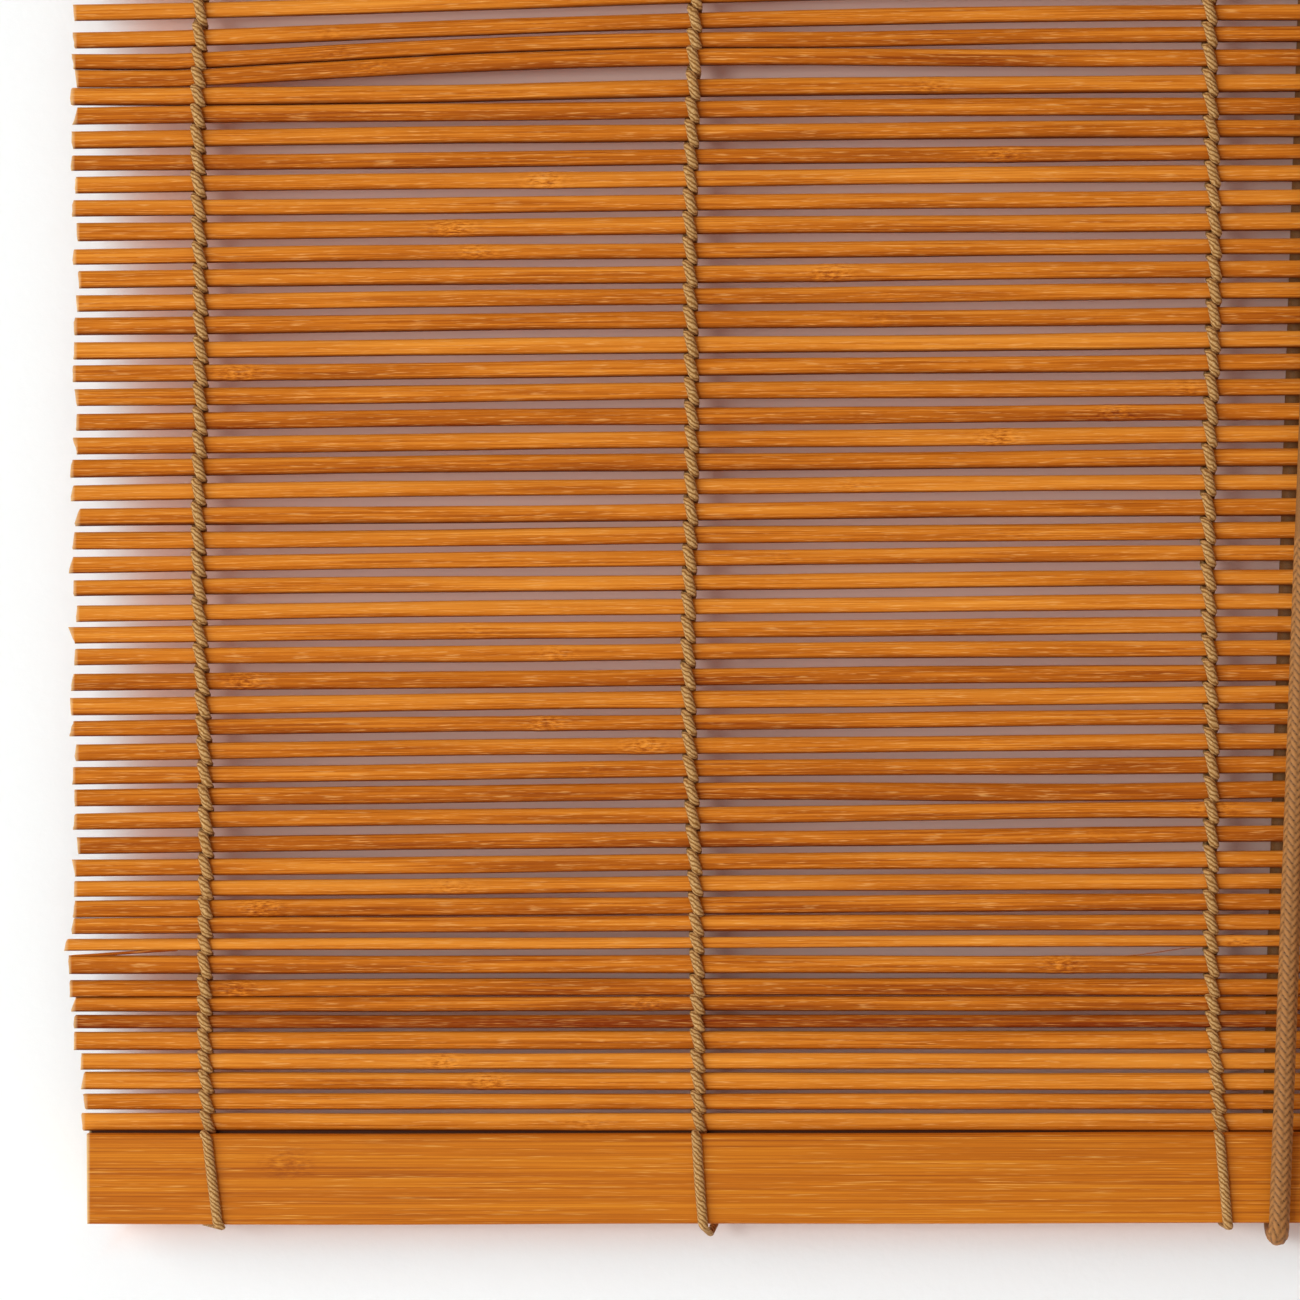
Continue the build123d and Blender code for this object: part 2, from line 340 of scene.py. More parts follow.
@dataclass(frozen=True)
class Paint:
    """The nodes of one tree. Each method adds nodes and returns the socket that they put out."""

    tree: Tree

    def place(self) -> Socket:
        """Place on the piece."""
        return add_node(self.tree, "ShaderNodeTexCoord").outputs["Object"]

    def grain(self) -> Socket:
        """Ways along and around a tube."""
        return add_node(self.tree, "ShaderNodeUVMap", {"uv_map": GRAIN}).outputs[0]

    def mark(self, name: str) -> Socket:
        """Value of a mark of the mesh, by its attribute name."""
        return add_node(self.tree, "ShaderNodeAttribute", {"attribute_name": name}).outputs["Fac"]

    def vector(self, operation: str, *values: Source, output: str = "Vector") -> Socket:
        """Reckon with vectors, by Blender's name of the sum. Its output is "Value" for a number."""
        inputs = dict(enumerate(values))
        return add_node(self.tree, "ShaderNodeVectorMath", {"operation": operation}, inputs).outputs[output]

    def number(self, operation: str, *values: Source) -> Socket:
        """Reckon with numbers, by Blender's name of the sum."""
        inputs = dict(enumerate(values))
        return add_node(self.tree, "ShaderNodeMath", {"operation": operation}, inputs).outputs[0]

    def weigh(self, value: Source, weight: Source, rest: Source) -> Socket:
        """Value times weight, plus the rest."""
        return self.number("MULTIPLY_ADD", value, weight, rest)

    def noise(self, place: Socket, lumps: Lumps) -> Socket:
        """Draw a noise.

        Args:
            place: where each point is.
            lumps: the noise's size and character.

        Returns:
            Its value.
        """
        size = lumps.size if isinstance(lumps.size, tuple) else (lumps.size,) * 3
        inputs = {
            "Vector": self.vector("MULTIPLY", place, tuple(1 / side for side in size)),
            "Scale": 1.0,
            "Detail": lumps.detail,
            "Roughness": lumps.roughness,
            "Distortion": lumps.distortion,
        }
        return add_node(self.tree, "ShaderNodeTexNoise", {"noise_dimensions": lumps.space}, inputs).outputs[0]

    def ramp(self, value: Socket, ramp: Ramp) -> Socket:
        """Lead a value through a ramp.

        Args:
            value: what comes in.
            ramp: the rise that it takes.

        Returns:
            The ramp's height there.
        """
        inputs = {
            "Value": value,
            "From Min": ramp.start,
            "From Max": ramp.stop,
            "To Min": ramp.low,
            "To Max": ramp.high,
        }
        curve = {"interpolation_type": ramp.curve}
        return add_node(self.tree, "ShaderNodeMapRange", curve, inputs).outputs[0]

    def mix(self, share: Socket, low: Socket | str, high: Socket | str) -> Socket:
        """Mix two colours, each a hex code or a socket.

        Args:
            share: how much of the second one there is.
            low: the first colour.
            high: the second colour.

        Returns:
            The mixed colour.
        """
        first, second = (hex_linear(end) if isinstance(end, str) else end for end in (low, high))
        # A mix node's colours are its inputs 6 and 7 and its output 2.
        inputs = {0: share, 6: first, 7: second}
        return add_node(self.tree, "ShaderNodeMix", {"data_type": "RGBA"}, inputs).outputs[2]

    def bump(self, height: Socket, relief: float, strength: float) -> Socket:
        """Normal of a skin that stands out by height times relief, as far as the strength lets it count."""
        inputs = {"Height": height, "Distance": relief, "Strength": strength}
        return add_node(self.tree, "ShaderNodeBump", {}, inputs).outputs[0]


@dataclass(frozen=True)
class Finish:
    """A surface finish, made into a material once. Its surface names the shader's plain values."""

    name: str
    surface: Surface

    def make(self) -> Material:
        """Make the material: the finish's sockets and plain values, fed to its shader.

        Returns:
            The new material.
        """
        material = bpy.data.materials.new(self.name)
        material.use_nodes = True
        tree = material.node_tree
        feed(tree, tree.nodes["Principled BSDF"], self.shade(Paint(tree)) | dict(self.surface))
        return material

    def shade(self, paint: Paint) -> dict[str, Socket]:
        """Add the finish's nodes and return the socket for each shader input that has one."""
        raise NotImplementedError


@dataclass(frozen=True)
class Bamboo(Finish):
    """Stained bamboo: dark, body and light fibres along it, small glints and pale cut ends."""

    dark: str
    body: str
    light: str
    glint: str
    raw: str
    deep: Ramp
    high: Ramp
    spark: Ramp

    def stain(self, paint: Paint, tone_and_shade: Socket, fleck: Socket) -> Socket:
        """Mix dark, body and light, with glints over them.

        Args:
            paint: the material's nodes.
            tone_and_shade: how thin the stain is, with any painted light and shade added in.
            fleck: noise whose peaks glint.

        Returns:
            The stained colour.
        """
        body = paint.mix(paint.ramp(tone_and_shade, self.deep), self.dark, self.body)
        lit = paint.mix(paint.ramp(tone_and_shade, self.high), body, self.light)
        return paint.mix(paint.ramp(fleck, self.spark), lit, self.glint)


@dataclass(frozen=True)
class StainedReed(Bamboo):
    """Split bamboo, stained and oiled: long light and dark fibres, redder tones on some reeds, pale ends.

    The top of a reed is painted lighter, as light from above, and its lower edge darker: painted shade, with
    some stain gathered there.
    """

    name: str = "stained split bamboo reed"
    surface: Surface = (("Roughness", 0.6), ("IOR", 1.48), ("Specular IOR Level", 0.1))
    # Colour of the painted shade, with some stain, along each reed's lower edge.
    shade_and_stain_colour: str = "4E1400"
    dark: str = "7E2E00"
    body: str = "C46A12"
    light: str = "EC9634"
    glint: str = "F2B266"
    raw: str = "EBC389"
    deep: Ramp = Ramp(0.25, 0.9)
    high: Ramp = Ramp(0.8, 1.35, high=0.85)
    spark: Ramp = Ramp(0.58, 0.72, high=0.5)
    shade_and_stain_below: Ramp = Ramp(-0.7, -0.97, high=0.85)
    fibre: Lumps = Lumps((45 * MM, 0.5 * MM, 1.0), 3.0, 0.6, space="2D")
    fleck: Lumps = Lumps((7 * MM, 0.32 * MM, 1.0), 2.0, 0.6, space="2D")
    patch: Lumps = Lumps((90 * MM, 6 * MM, 1.0), 2.0, 0.6, space="2D")
    speck: Lumps = Lumps((2.0 * MM, 0.5 * MM, 1.0), 3.0, 0.6, space="2D")
    thin_base: float = -0.12
    painted_top_light: float = 0.2
    fibre_weight: float = 1.2
    patch_weight: float = 0.8
    tone_weight: float = 0.3
    speck_weight: float = 2.4
    speck_base: float = -1.15
    relief: float = 0.12 * MM
    strength: float = 0.8

    def shade(self, paint: Paint) -> dict[str, Socket]:
        """Stain by fibre, patch, tone and specks at knots, paint light on top and shade along the lower edge,
        pale the ends.

        Args:
            paint: the material's nodes.

        Returns:
            Sockets for the shader's colour and normal.
        """
        grain, up = paint.grain(), paint.mark("up")
        noises = (self.fibre, self.fleck, self.patch, self.speck)
        fibre, fleck, patch, specks = (paint.noise(grain, lumps) for lumps in noises)
        # Painted light and shade: the up mark lightens the top of each reed and darkens its lower side.
        tone_and_shade = paint.weigh(up, self.painted_top_light, self.thin_base)
        tone_and_shade = paint.weigh(fibre, self.fibre_weight, tone_and_shade)
        tone_and_shade = paint.weigh(patch, self.patch_weight, tone_and_shade)
        tone_and_shade = paint.weigh(paint.mark("tone"), self.tone_weight, tone_and_shade)
        tone_and_shade = paint.weigh(paint.mark("knot"), paint.weigh(specks, self.speck_weight, self.speck_base), tone_and_shade)
        # Painted shade, with some stain, in a dark line along each reed's lower edge.
        colour = paint.mix(paint.ramp(up, self.shade_and_stain_below), self.stain(paint, tone_and_shade, fleck), self.shade_and_stain_colour)
        colour = paint.mix(paint.mark("end"), colour, self.raw)
        return {"Base Color": colour, "Normal": paint.bump(fibre, self.relief, self.strength)}


@dataclass(frozen=True)
class BambooSlat(Bamboo):
    """Planed bamboo strip, stained: hair-fine straight fibres along it, low sheen, pale sawn ends.

    Where an edge shows in a shadowed gap, painted shade makes it nearly black.
    """

    name: str = "stained planed bamboo"
    surface: Surface = (("Roughness", 0.6), ("IOR", 1.48), ("Specular IOR Level", 0.2))
    dark: str = "9A4A00"
    body: str = "C16904"
    light: str = "DC8A1C"
    glint: str = "EDB058"
    raw: str = "EFC98C"
    # Colour of the painted shade on an edge seen in a shadowed gap.
    gap_shade_colour: str = "2E0600"
    deep: Ramp = Ramp(0.5, 0.85)
    high: Ramp = Ramp(0.82, 1.15, high=0.8)
    spark: Ramp = Ramp(0.6, 0.72, high=0.6)
    fibre: Lumps = Lumps((90 * MM, 0.4 * MM, 0.4 * MM), 4.0, 0.65)
    band: Lumps = Lumps((400 * MM, 5 * MM, 5 * MM), 2.0, 0.65)
    fleck: Lumps = Lumps((13 * MM, 0.26 * MM, 0.26 * MM), 2.0, 0.65)
    speck: Lumps = Lumps((2.4 * MM, 0.5 * MM, 0.5 * MM), 3.0, 0.65)
    fibre_weight: float = 1.6
    fibre_base: float = -0.25
    band_weight: float = 0.5
    speck_weight: float = 1.5
    speck_base: float = -0.85
    knot_place: Triple = (-400 * MM, -17 * MM, -686 * MM)
    knot_half: Triple = (7 * MM, 4 * MM, 4 * MM)
    knot_fade: Ramp = Ramp(0.2, 1.3, 1.0, 0.0, "SMOOTHSTEP")
    relief: float = 0.06 * MM
    strength: float = 0.6

    def shade(self, paint: Paint) -> dict[str, Socket]:
        """Stain by fibre, broad band and specks at the knot. Paint shade nearly black on a gap edge, pale the
        sawn ends.

        Args:
            paint: the material's nodes.

        Returns:
            Sockets for the shader's colour and normal.
        """
        place = paint.place()
        noises = (self.fibre, self.band, self.fleck, self.speck)
        fibre, band, fleck, specks = (paint.noise(place, lumps) for lumps in noises)
        away = paint.vector("DIVIDE", paint.vector("SUBTRACT", place, self.knot_place), self.knot_half)
        knot = paint.ramp(paint.vector("LENGTH", away, output="Value"), self.knot_fade)
        tone_and_shade = paint.weigh(fibre, self.fibre_weight, self.fibre_base)
        tone_and_shade = paint.weigh(band, self.band_weight, tone_and_shade)
        tone_and_shade = paint.weigh(knot, paint.weigh(specks, self.speck_weight, self.speck_base), tone_and_shade)
        # Painted shade: nearly black where the rear batten shows in the gap above the front one.
        colour = paint.mix(paint.mark("painted_gap_shade"), self.stain(paint, tone_and_shade, fleck), self.gap_shade_colour)
        colour = paint.mix(paint.mark("end"), colour, self.raw)
        return {"Base Color": colour, "Normal": paint.bump(fibre, self.relief, self.strength)}


@dataclass(frozen=True)
class TwistedTwine(Finish):
    """Plied plant-fibre twine, matt and a little hairy: slanting plies, painted shade in the grooves, painted
    highlights on the crests.
    """

    name: str = "plied jute twine"
    surface: Surface = (("Roughness", 0.85), ("Specular IOR Level", 0.2))
    # Colour of the painted shade in the grooves.
    groove_shade: str = "83541F"
    body: str = "B58247"
    # Colour of the painted highlight on the ply crests.
    light: str = "DCB882"
    plies: float = 5.0
    lay: float = 6.0 * MM
    ply_half: float = 0.5
    ply_round: Ramp = Ramp(0.0, 0.4, curve="SMOOTHSTEP")
    wobble: Lumps = Lumps(1.8 * MM, 1.0)
    wobble_weight: float = 1.3
    hair: Lumps = Lumps(0.3 * MM, 3.0, 0.7)
    bright: Ramp = Ramp(0.4, 0.65, high=0.8)
    hair_height: float = 0.35
    relief: float = 0.14 * MM
    strength: float = 0.9

    def shade(self, paint: Paint) -> dict[str, Socket]:
        """Sink the grooves of a helix, with painted shade in them: plies times the way along over the lay,
        less the way round.

        A slow noise shifts the helix, so that the plies run unevenly.

        Args:
            paint: the material's nodes.

        Returns:
            Sockets for the shader's colour and normal.
        """
        place, rise = paint.place(), (self.plies / self.lay, -self.plies, 0)
        helix = paint.vector("DOT_PRODUCT", paint.grain(), rise, output="Value")
        uneven = paint.weigh(paint.noise(place, self.wobble), self.wobble_weight, helix)
        ply = paint.ramp(paint.number("PINGPONG", uneven, self.ply_half), self.ply_round)
        hair = paint.noise(place, self.hair)
        # Painted highlight on the ply crests, broken up by hairs; painted shade in the grooves between them.
        painted_crest_highlight = paint.number("MULTIPLY", paint.ramp(hair, self.bright), ply)
        colour = paint.mix(painted_crest_highlight, paint.mix(ply, self.groove_shade, self.body), self.light)
        height = paint.weigh(hair, self.hair_height, ply)
        return {"Base Color": colour, "Normal": paint.bump(height, self.relief, self.strength)}


@dataclass(frozen=True)
class BraidedCord(Finish):
    """Braided polyester cord: satin strands that stand proud, with painted shade in the valleys between them.
    """

    name: str = "braided brown cord"
    surface: Surface = (("Roughness", 0.65), ("Specular IOR Level", 0.3))
    # Colour of the painted shade in the valleys between strands.
    valley_shade: str = "3C210A"
    strand: str = "A9713B"
    thread: Lumps = Lumps(0.25 * MM, 2.0, 0.6)
    thread_weight: float = 0.5
    lift: Ramp = Ramp(0.4, 1.15)
    relief: float = 0.06 * MM
    strength: float = 0.7

    def shade(self, paint: Paint) -> dict[str, Socket]:
        """Colour the braid by its own height, with painted shade in the valleys and fine threads over it.

        Args:
            paint: the material's nodes.

        Returns:
            Sockets for the shader's colour and normal.
        """
        threads = paint.noise(paint.place(), self.thread)
        tone_and_shade = paint.weigh(threads, self.thread_weight, paint.mark("braid"))
        # Painted shade: the lower the braid, the darker.
        colour = paint.mix(paint.ramp(tone_and_shade, self.lift), self.valley_shade, self.strand)
        return {"Base Color": colour, "Normal": paint.bump(threads, self.relief, self.strength)}


@dataclass(frozen=True)
class ZincSteel(Finish):
    """Bright zinc-plated steel: a cool soft gloss with a faint spangle."""

    name: str = "zinc-plated steel"
    surface: Surface = (("Metallic", 1.0),)
    bright: str = "C9CCCF"
    dull: str = "A4A8AC"
    spangle: Lumps = Lumps(2.5 * MM, 4.0, 0.6)
    gloss: Ramp = Ramp(low=0.26, high=0.44)

    def shade(self, paint: Paint) -> dict[str, Socket]:
        """Vary colour and gloss by the spangle.

        Args:
            paint: the material's nodes.

        Returns:
            Sockets for the shader's colour and roughness.
        """
        grains = paint.noise(paint.place(), self.spangle)
        colour = paint.mix(grains, self.dull, self.bright)
        return {"Base Color": colour, "Roughness": paint.ramp(grains, self.gloss)}


@dataclass(frozen=True)
class MouldedNylon(Finish):
    """Moulded nylon: off-white, slightly waxy, with a fine moulded grain."""

    name: str = "moulded nylon"
    surface: Surface = (("Roughness", 0.4), ("IOR", 1.53))
    body: str = "E4DCCB"
    shadow: str = "D2C8B4"
    grit: Lumps = Lumps(0.6 * MM, 3.0)
    relief: float = 0.02 * MM
    strength: float = 0.5

    def shade(self, paint: Paint) -> dict[str, Socket]:
        """Mottle the colour and roughen the skin by a fine grit.

        Args:
            paint: the material's nodes.

        Returns:
            Sockets for the shader's colour and normal.
        """
        grit = paint.noise(paint.place(), self.grit)
        colour = paint.mix(grit, self.shadow, self.body)
        return {"Base Color": colour, "Normal": paint.bump(grit, self.relief, self.strength)}


@dataclass(frozen=True)
class TurnedWood(Finish):
    """Turned hardwood, stained to the reeds and waxed: upright grain lines that show at the belly."""

    name: str = "stained turned wood"
    surface: Surface = (("Roughness", 0.35), ("Coat Weight", 0.15))
    dark: str = "7E3E10"
    body: str = "B5682A"
    line: Lumps = Lumps((0.9 * MM, 0.9 * MM, 22 * MM), 4.0, 0.6, 0.4)
    deep: Ramp = Ramp(0.3, 0.65)
    relief: float = 0.04 * MM
    strength: float = 0.5

    def shade(self, paint: Paint) -> dict[str, Socket]:
        """Draw grain lines that run down the pull.

        Args:
            paint: the material's nodes.

        Returns:
            Sockets for the shader's colour and normal.
        """
        lines = paint.noise(paint.place(), self.line)
        colour = paint.mix(paint.ramp(lines, self.deep), self.dark, self.body)
        return {"Base Color": colour, "Normal": paint.bump(lines, self.relief, self.strength)}


@dataclass(frozen=True)
class PaintedPlaster(Finish):
    """White painted wall: matt and faintly rolled, with bounce light in the reeds' colour painted on behind
    and below them.

    It is clear from behind, so that no view is shut out.
    """

    name: str = "white painted plaster"
    surface: Surface = (("Roughness", 0.9), ("Specular IOR Level", 0.2))
    white: str = "F6F6F6"
    # Colour of the painted bounce light from the reeds.
    painted_bounce: str = "FFDACB"
    painted_bounce_middle: Triple = (0.0, 0.0, -353 * MM)
    painted_bounce_half: Triple = (447 * MM, 100 * MM, 358 * MM)
    painted_bounce_fade: Ramp = Ramp(0.0, 18 * MM, curve="SMOOTHSTEP")
    stipple: Lumps = Lumps(2.2 * MM, 3.0)
    relief: float = 0.12 * MM
    strength: float = 0.5

    def make(self) -> Material:
        """Make the material, and let rays from behind pass.

        Returns:
            The new material.
        """
        material = super().make()
        tree = material.node_tree
        behind = add_node(tree, "ShaderNodeNewGeometry").outputs["Backfacing"]
        clear = add_node(tree, "ShaderNodeBsdfTransparent").outputs[0]
        sides = {0: behind, 1: tree.nodes["Principled BSDF"].outputs[0], 2: clear}
        either = add_node(tree, "ShaderNodeMixShader", {}, sides).outputs[0]
        feed(tree, tree.nodes["Material Output"], {"Surface": either})
        return material

    def shade(self, paint: Paint) -> dict[str, Socket]:
        """Give the wall its stipple and its painted bounce light.

        The field is full at a fade's way inside its own outline and gone at that outline.

        Args:
            paint: the material's nodes.

        Returns:
            Sockets for the shader's colour and normal.
        """
        place = paint.place()
        away = paint.vector("ABSOLUTE", paint.vector("SUBTRACT", place, self.painted_bounce_middle))
        inside = paint.vector("SUBTRACT", self.painted_bounce_half, away)
        depth = add_node(paint.tree, "ShaderNodeSeparateXYZ", {}, {0: inside}).outputs
        share = paint.ramp(paint.number("MINIMUM", depth["X"], depth["Z"]), self.painted_bounce_fade)
        stipple = paint.noise(place, self.stipple)
        # Painted bounce light: the reeds' colour thrown on the wall behind and below them.
        colour = paint.mix(share, self.white, self.painted_bounce)
        return {"Base Color": colour, "Normal": paint.bump(stipple, self.relief, self.strength)}


@dataclass(frozen=True)
class ReedQuirk:
    """What sets one reed apart. Places count from the left end, and a bow is its place, rise and reach."""

    from_foot: int
    thin: float = 1.0
    tone: float = 0.0
    end_shift: float = 0.0
    knot_at: float = 0.0
    bows: tuple[Triple, ...] = ()


MID = 450 * MM
CROWD_FROM, CROWD_ROWS = 48, 16
CROWD_BOW, CROWD_EASE, CROWD_REACH = -4.4 * MM, 0.88, 110 * MM
REED_QUIRKS = (
    ReedQuirk(0, thin=1.12, end_shift=2.6 * MM, bows=((MID, -0.6 * MM, 3000 * MM),)),
    ReedQuirk(1, thin=0.95, end_shift=1.9 * MM, bows=((MID, -0.5 * MM, 3000 * MM),)),
    ReedQuirk(2, thin=0.99, knot_at=95 * MM, end_shift=2.5 * MM, bows=((MID, -0.55 * MM, 480 * MM),)),
    ReedQuirk(3, thin=1.03, knot_at=85 * MM, end_shift=1.8 * MM, bows=((MID, -0.25 * MM, 3000 * MM),)),
    ReedQuirk(4, thin=1.03, end_shift=0.7 * MM),
    ReedQuirk(5, thin=0.8, tone=-1.6, end_shift=0.5 * MM, bows=((MID, -0.3 * MM, 480 * MM),)),
    ReedQuirk(6, thin=0.98, tone=-0.9, bows=((MID, -1.1 * MM, 700 * MM),)),
    ReedQuirk(
        7, tone=-1.2, end_shift=-0.8 * MM, bows=((0.0, -0.9 * MM, 60 * MM), (MID, -2.0 * MM, 550 * MM))
    ),
    ReedQuirk(8, thin=1.12, tone=-0.6, end_shift=-1.2 * MM, bows=((MID, -1.5 * MM, 550 * MM),)),
    ReedQuirk(9, thin=0.7, tone=0.4, end_shift=-1.6 * MM),
    ReedQuirk(11, knot_at=44 * MM),
    ReedQuirk(15, bows=((245 * MM, 0.3 * MM, 50 * MM),)),
    ReedQuirk(16, bows=((235 * MM, -0.9 * MM, 60 * MM),)),
    ReedQuirk(18, knot_at=133 * MM),
    ReedQuirk(19, knot_at=111 * MM),
    ReedQuirk(21, knot_at=41 * MM),
    ReedQuirk(31, knot_at=216 * MM),
    ReedQuirk(32, tone=-0.5),
    ReedQuirk(34, knot_at=39 * MM),
    ReedQuirk(38, knot_at=176 * MM),
    ReedQuirk(40, knot_at=88 * MM),
    ReedQuirk(42, knot_at=110 * MM),
    ReedQuirk(46, bows=((60 * MM, -1.1 * MM, 80 * MM),)),
    ReedQuirk(47, bows=((0.0, -2.8 * MM, 60 * MM), (150 * MM, 1.2 * MM, 70 * MM))),
    *(
        ReedQuirk(CROWD_FROM + step, bows=((0.0, CROWD_BOW * CROWD_EASE**step, CROWD_REACH),))
        for step in range(CROWD_ROWS)
    ),
)


@dataclass
class ReedMat:
    """The reeds, counted from the foot: each a long tube with rounded corners, its own bows and cut ends."""

    count: int = 121
    packed_count: int = 10
    packed_pitch: float = 4.6 * MM
    height: float = 4.1 * MM
    sides: int = 12
    even_stations: int = 66
    knots_per_reed: int = 3
    seed: int = 11
    least_gap: float = 0.03 * MM
    quirks: tuple[ReedQuirk, ...] = REED_QUIRKS
    end_places: tuple[float, ...] = (0, 0.8 * MM, 3 * MM)
    even_from: float = 10 * MM
    tight_rows: int = 2
    tight_play: float = 0.25
    arch: float = 3.1 * MM
    arch_foot_rows: int = 14
    arch_head_rows: int = 45
    slump: float = 3.4 * MM
    slump_down: tuple[int, int] = (8, 5)
    slump_up: tuple[int, int] = (14, 34)
    lift_spread: float = 0.2 * MM
    lean_spread: float = 0.0003
    lean_share: float = 0.15
    sway: float = 0.1 * MM
    sway_reaches: Pair = (420 * MM, 170 * MM)
    thickness: Pair = (0.97, 0.045)
    thickness_limits: Pair = (0.86, 1.06)
    swells: tuple[Pair, ...] = ((0.022, 130 * MM), (0.014, 47 * MM))
    tone_spread: float = 0.35
    knot_shares: Pair = (0.08, 0.92)
    knot_power: float = 1.6
    end_out: float = 0.35 * MM
    end_spread: float = 0.5 * MM
    knot_places: tuple[float, ...] = (-8 * MM, -4 * MM, -1.5 * MM, 0, 1.5 * MM, 4 * MM, 8 * MM)
    knot_swell: Pair = (0.06, 3.6 * MM)
    knot_pinch: Pair = (0.03, 0.9 * MM)
    knot_reach: float = 4.6 * MM
    corner_powers: Pair = (0.62, 0.88)
    depths: Pair = (0.9, 1.0)
    roll_spread: float = 0.05
    roll_wave: float = 0.04
    roll_reach: float = 350 * MM
    roll_phases: Pair = (0, 6)
    cut_slants: Pair = (0.2, 0.05)
    cut_roughness: float = 0.09 * MM
    depth_spread: float = 0.12 * MM
    raw_reach: float = 0.5 * MM
    raw_most: float = 0.8

    def __post_init__(self) -> None:
        """Take the mat's place from the frame and lay the reeds out."""
        lo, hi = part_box("reed_mat")
        self.left, self.length = lo.x, hi.x - lo.x
        self.y, self.half_depth = (lo.y + hi.y) / 2, (hi.y - lo.y) / 2
        self.foot, self.head = lo.z + self.height / 2, hi.z - self.height / 2
        self.chance = np.random.default_rng(self.seed)
        self.lay_out()

    def rest_heights(self) -> Array:
        """Stack the reeds: the lowest ones packed, the rest at an even pitch.

        Returns:
            Height of each reed's middle.
        """
        number = np.arange(self.count)
        packed = np.minimum(number, self.packed_count)
        loose_run = self.head - self.foot - self.packed_count * self.packed_pitch
        pitch = loose_run / (self.count - 1 - self.packed_count)
        return self.foot + packed * self.packed_pitch + (number - packed) * pitch

    def lay_out(self) -> None:
        """Work out the reeds' middle lines and half heights at even places, then keep neighbours apart.

        A middle line is its rest height, plus a shared arch (half a sine wave across the blind, fading at
        foot and head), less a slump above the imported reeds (smooth steps down and up again), plus a lift, a
        lean and slow waves of its own, plus its bows (bell curves).
        """
        chance, count = self.chance, self.count
        number = np.arange(count)[:, None]
        ends = np.array(self.end_places)
        inner = np.linspace(self.even_from, self.length - self.even_from, self.even_stations)
        self.even = np.concatenate([ends, inner, self.length - ends[::-1]])
        share = self.even / self.length
        loose = np.clip((number - self.tight_rows) / self.packed_count, self.tight_play, 1)
        above, below = number / self.arch_foot_rows, (count - 1 - number) / self.arch_head_rows
        rise = np.clip(above, 0, 1) ** 2 * np.clip(below, 0, 1)
        steps = (self.slump_down, self.slump_up)
        sink, ease = (smooth_step(np.clip((number - start) / rows, 0, 1)) for start, rows in steps)
        arched = self.rest_heights()[:, None] + self.arch * rise * np.sin(math.pi * share)
        middle = arched - self.slump * sink * (1 - ease)
        middle = middle + chance.normal(0, self.lift_spread, (count, 1)) * loose
        lean = chance.normal(0, self.lean_spread, (count, 1)) * loose
        middle = middle + lean * (self.even - self.lean_share * self.length)
        for reach in self.sway_reaches:
            phase = chance.uniform(0, TURN, (count, 1))
            middle = middle + self.sway * loose * wave(self.even, reach, phase)
        half = self.height / 2 * np.clip(chance.normal(*self.thickness, (count, 1)), *self.thickness_limits)
        phases = chance.uniform(0, TURN, (count, len(self.swells)))
        for (swell, reach), phase in zip(self.swells, phases.T):
            half = half * (1 + swell * wave(self.even, reach, phase[:, None]))
        self.tone = chance.normal(0, self.tone_spread, count)
        several = (count, self.knots_per_reed)
        self.knots = chance.uniform(*self.knot_shares, several) + np.arange(self.knots_per_reed)
        self.knots *= self.length / self.knots_per_reed
        self.knot_strength = chance.uniform(0, 1, several) ** self.knot_power
        shifts = [chance.normal(out, self.end_spread, count) for out in (-self.end_out, self.end_out)]
        self.end_shift = np.stack(shifts, axis=1)
        for quirk in self.quirks:
            row = quirk.from_foot
            half[row] *= quirk.thin
            self.tone[row] += quirk.tone
            self.end_shift[row, 0] += quirk.end_shift
            for place, bow, reach in quirk.bows:
                middle[row] += bow * bell(self.even - place, reach)
            if quirk.knot_at:
                self.knots[row, 0] = quirk.knot_at
                self.knot_strength[row, 0] = 1.0
        for row in range(1, count):
            touching = middle[row - 1] + half[row - 1] + half[row] + self.least_gap
            middle[row] = np.maximum(middle[row], touching)
        self.middle, self.half = middle, half

    def section_at(self, x: float) -> tuple[Array, Array]:
        """Heights of the reeds at one place along the blind.

        Args:
            x: place along the blind.

        Returns:
            Middle height and half height of each reed, from the foot up.
        """
        place = x - self.left
        middle = np.array([np.interp(place, self.even, line) for line in self.middle])
        half = np.array([np.interp(place, self.even, line) for line in self.half])
        return middle, half

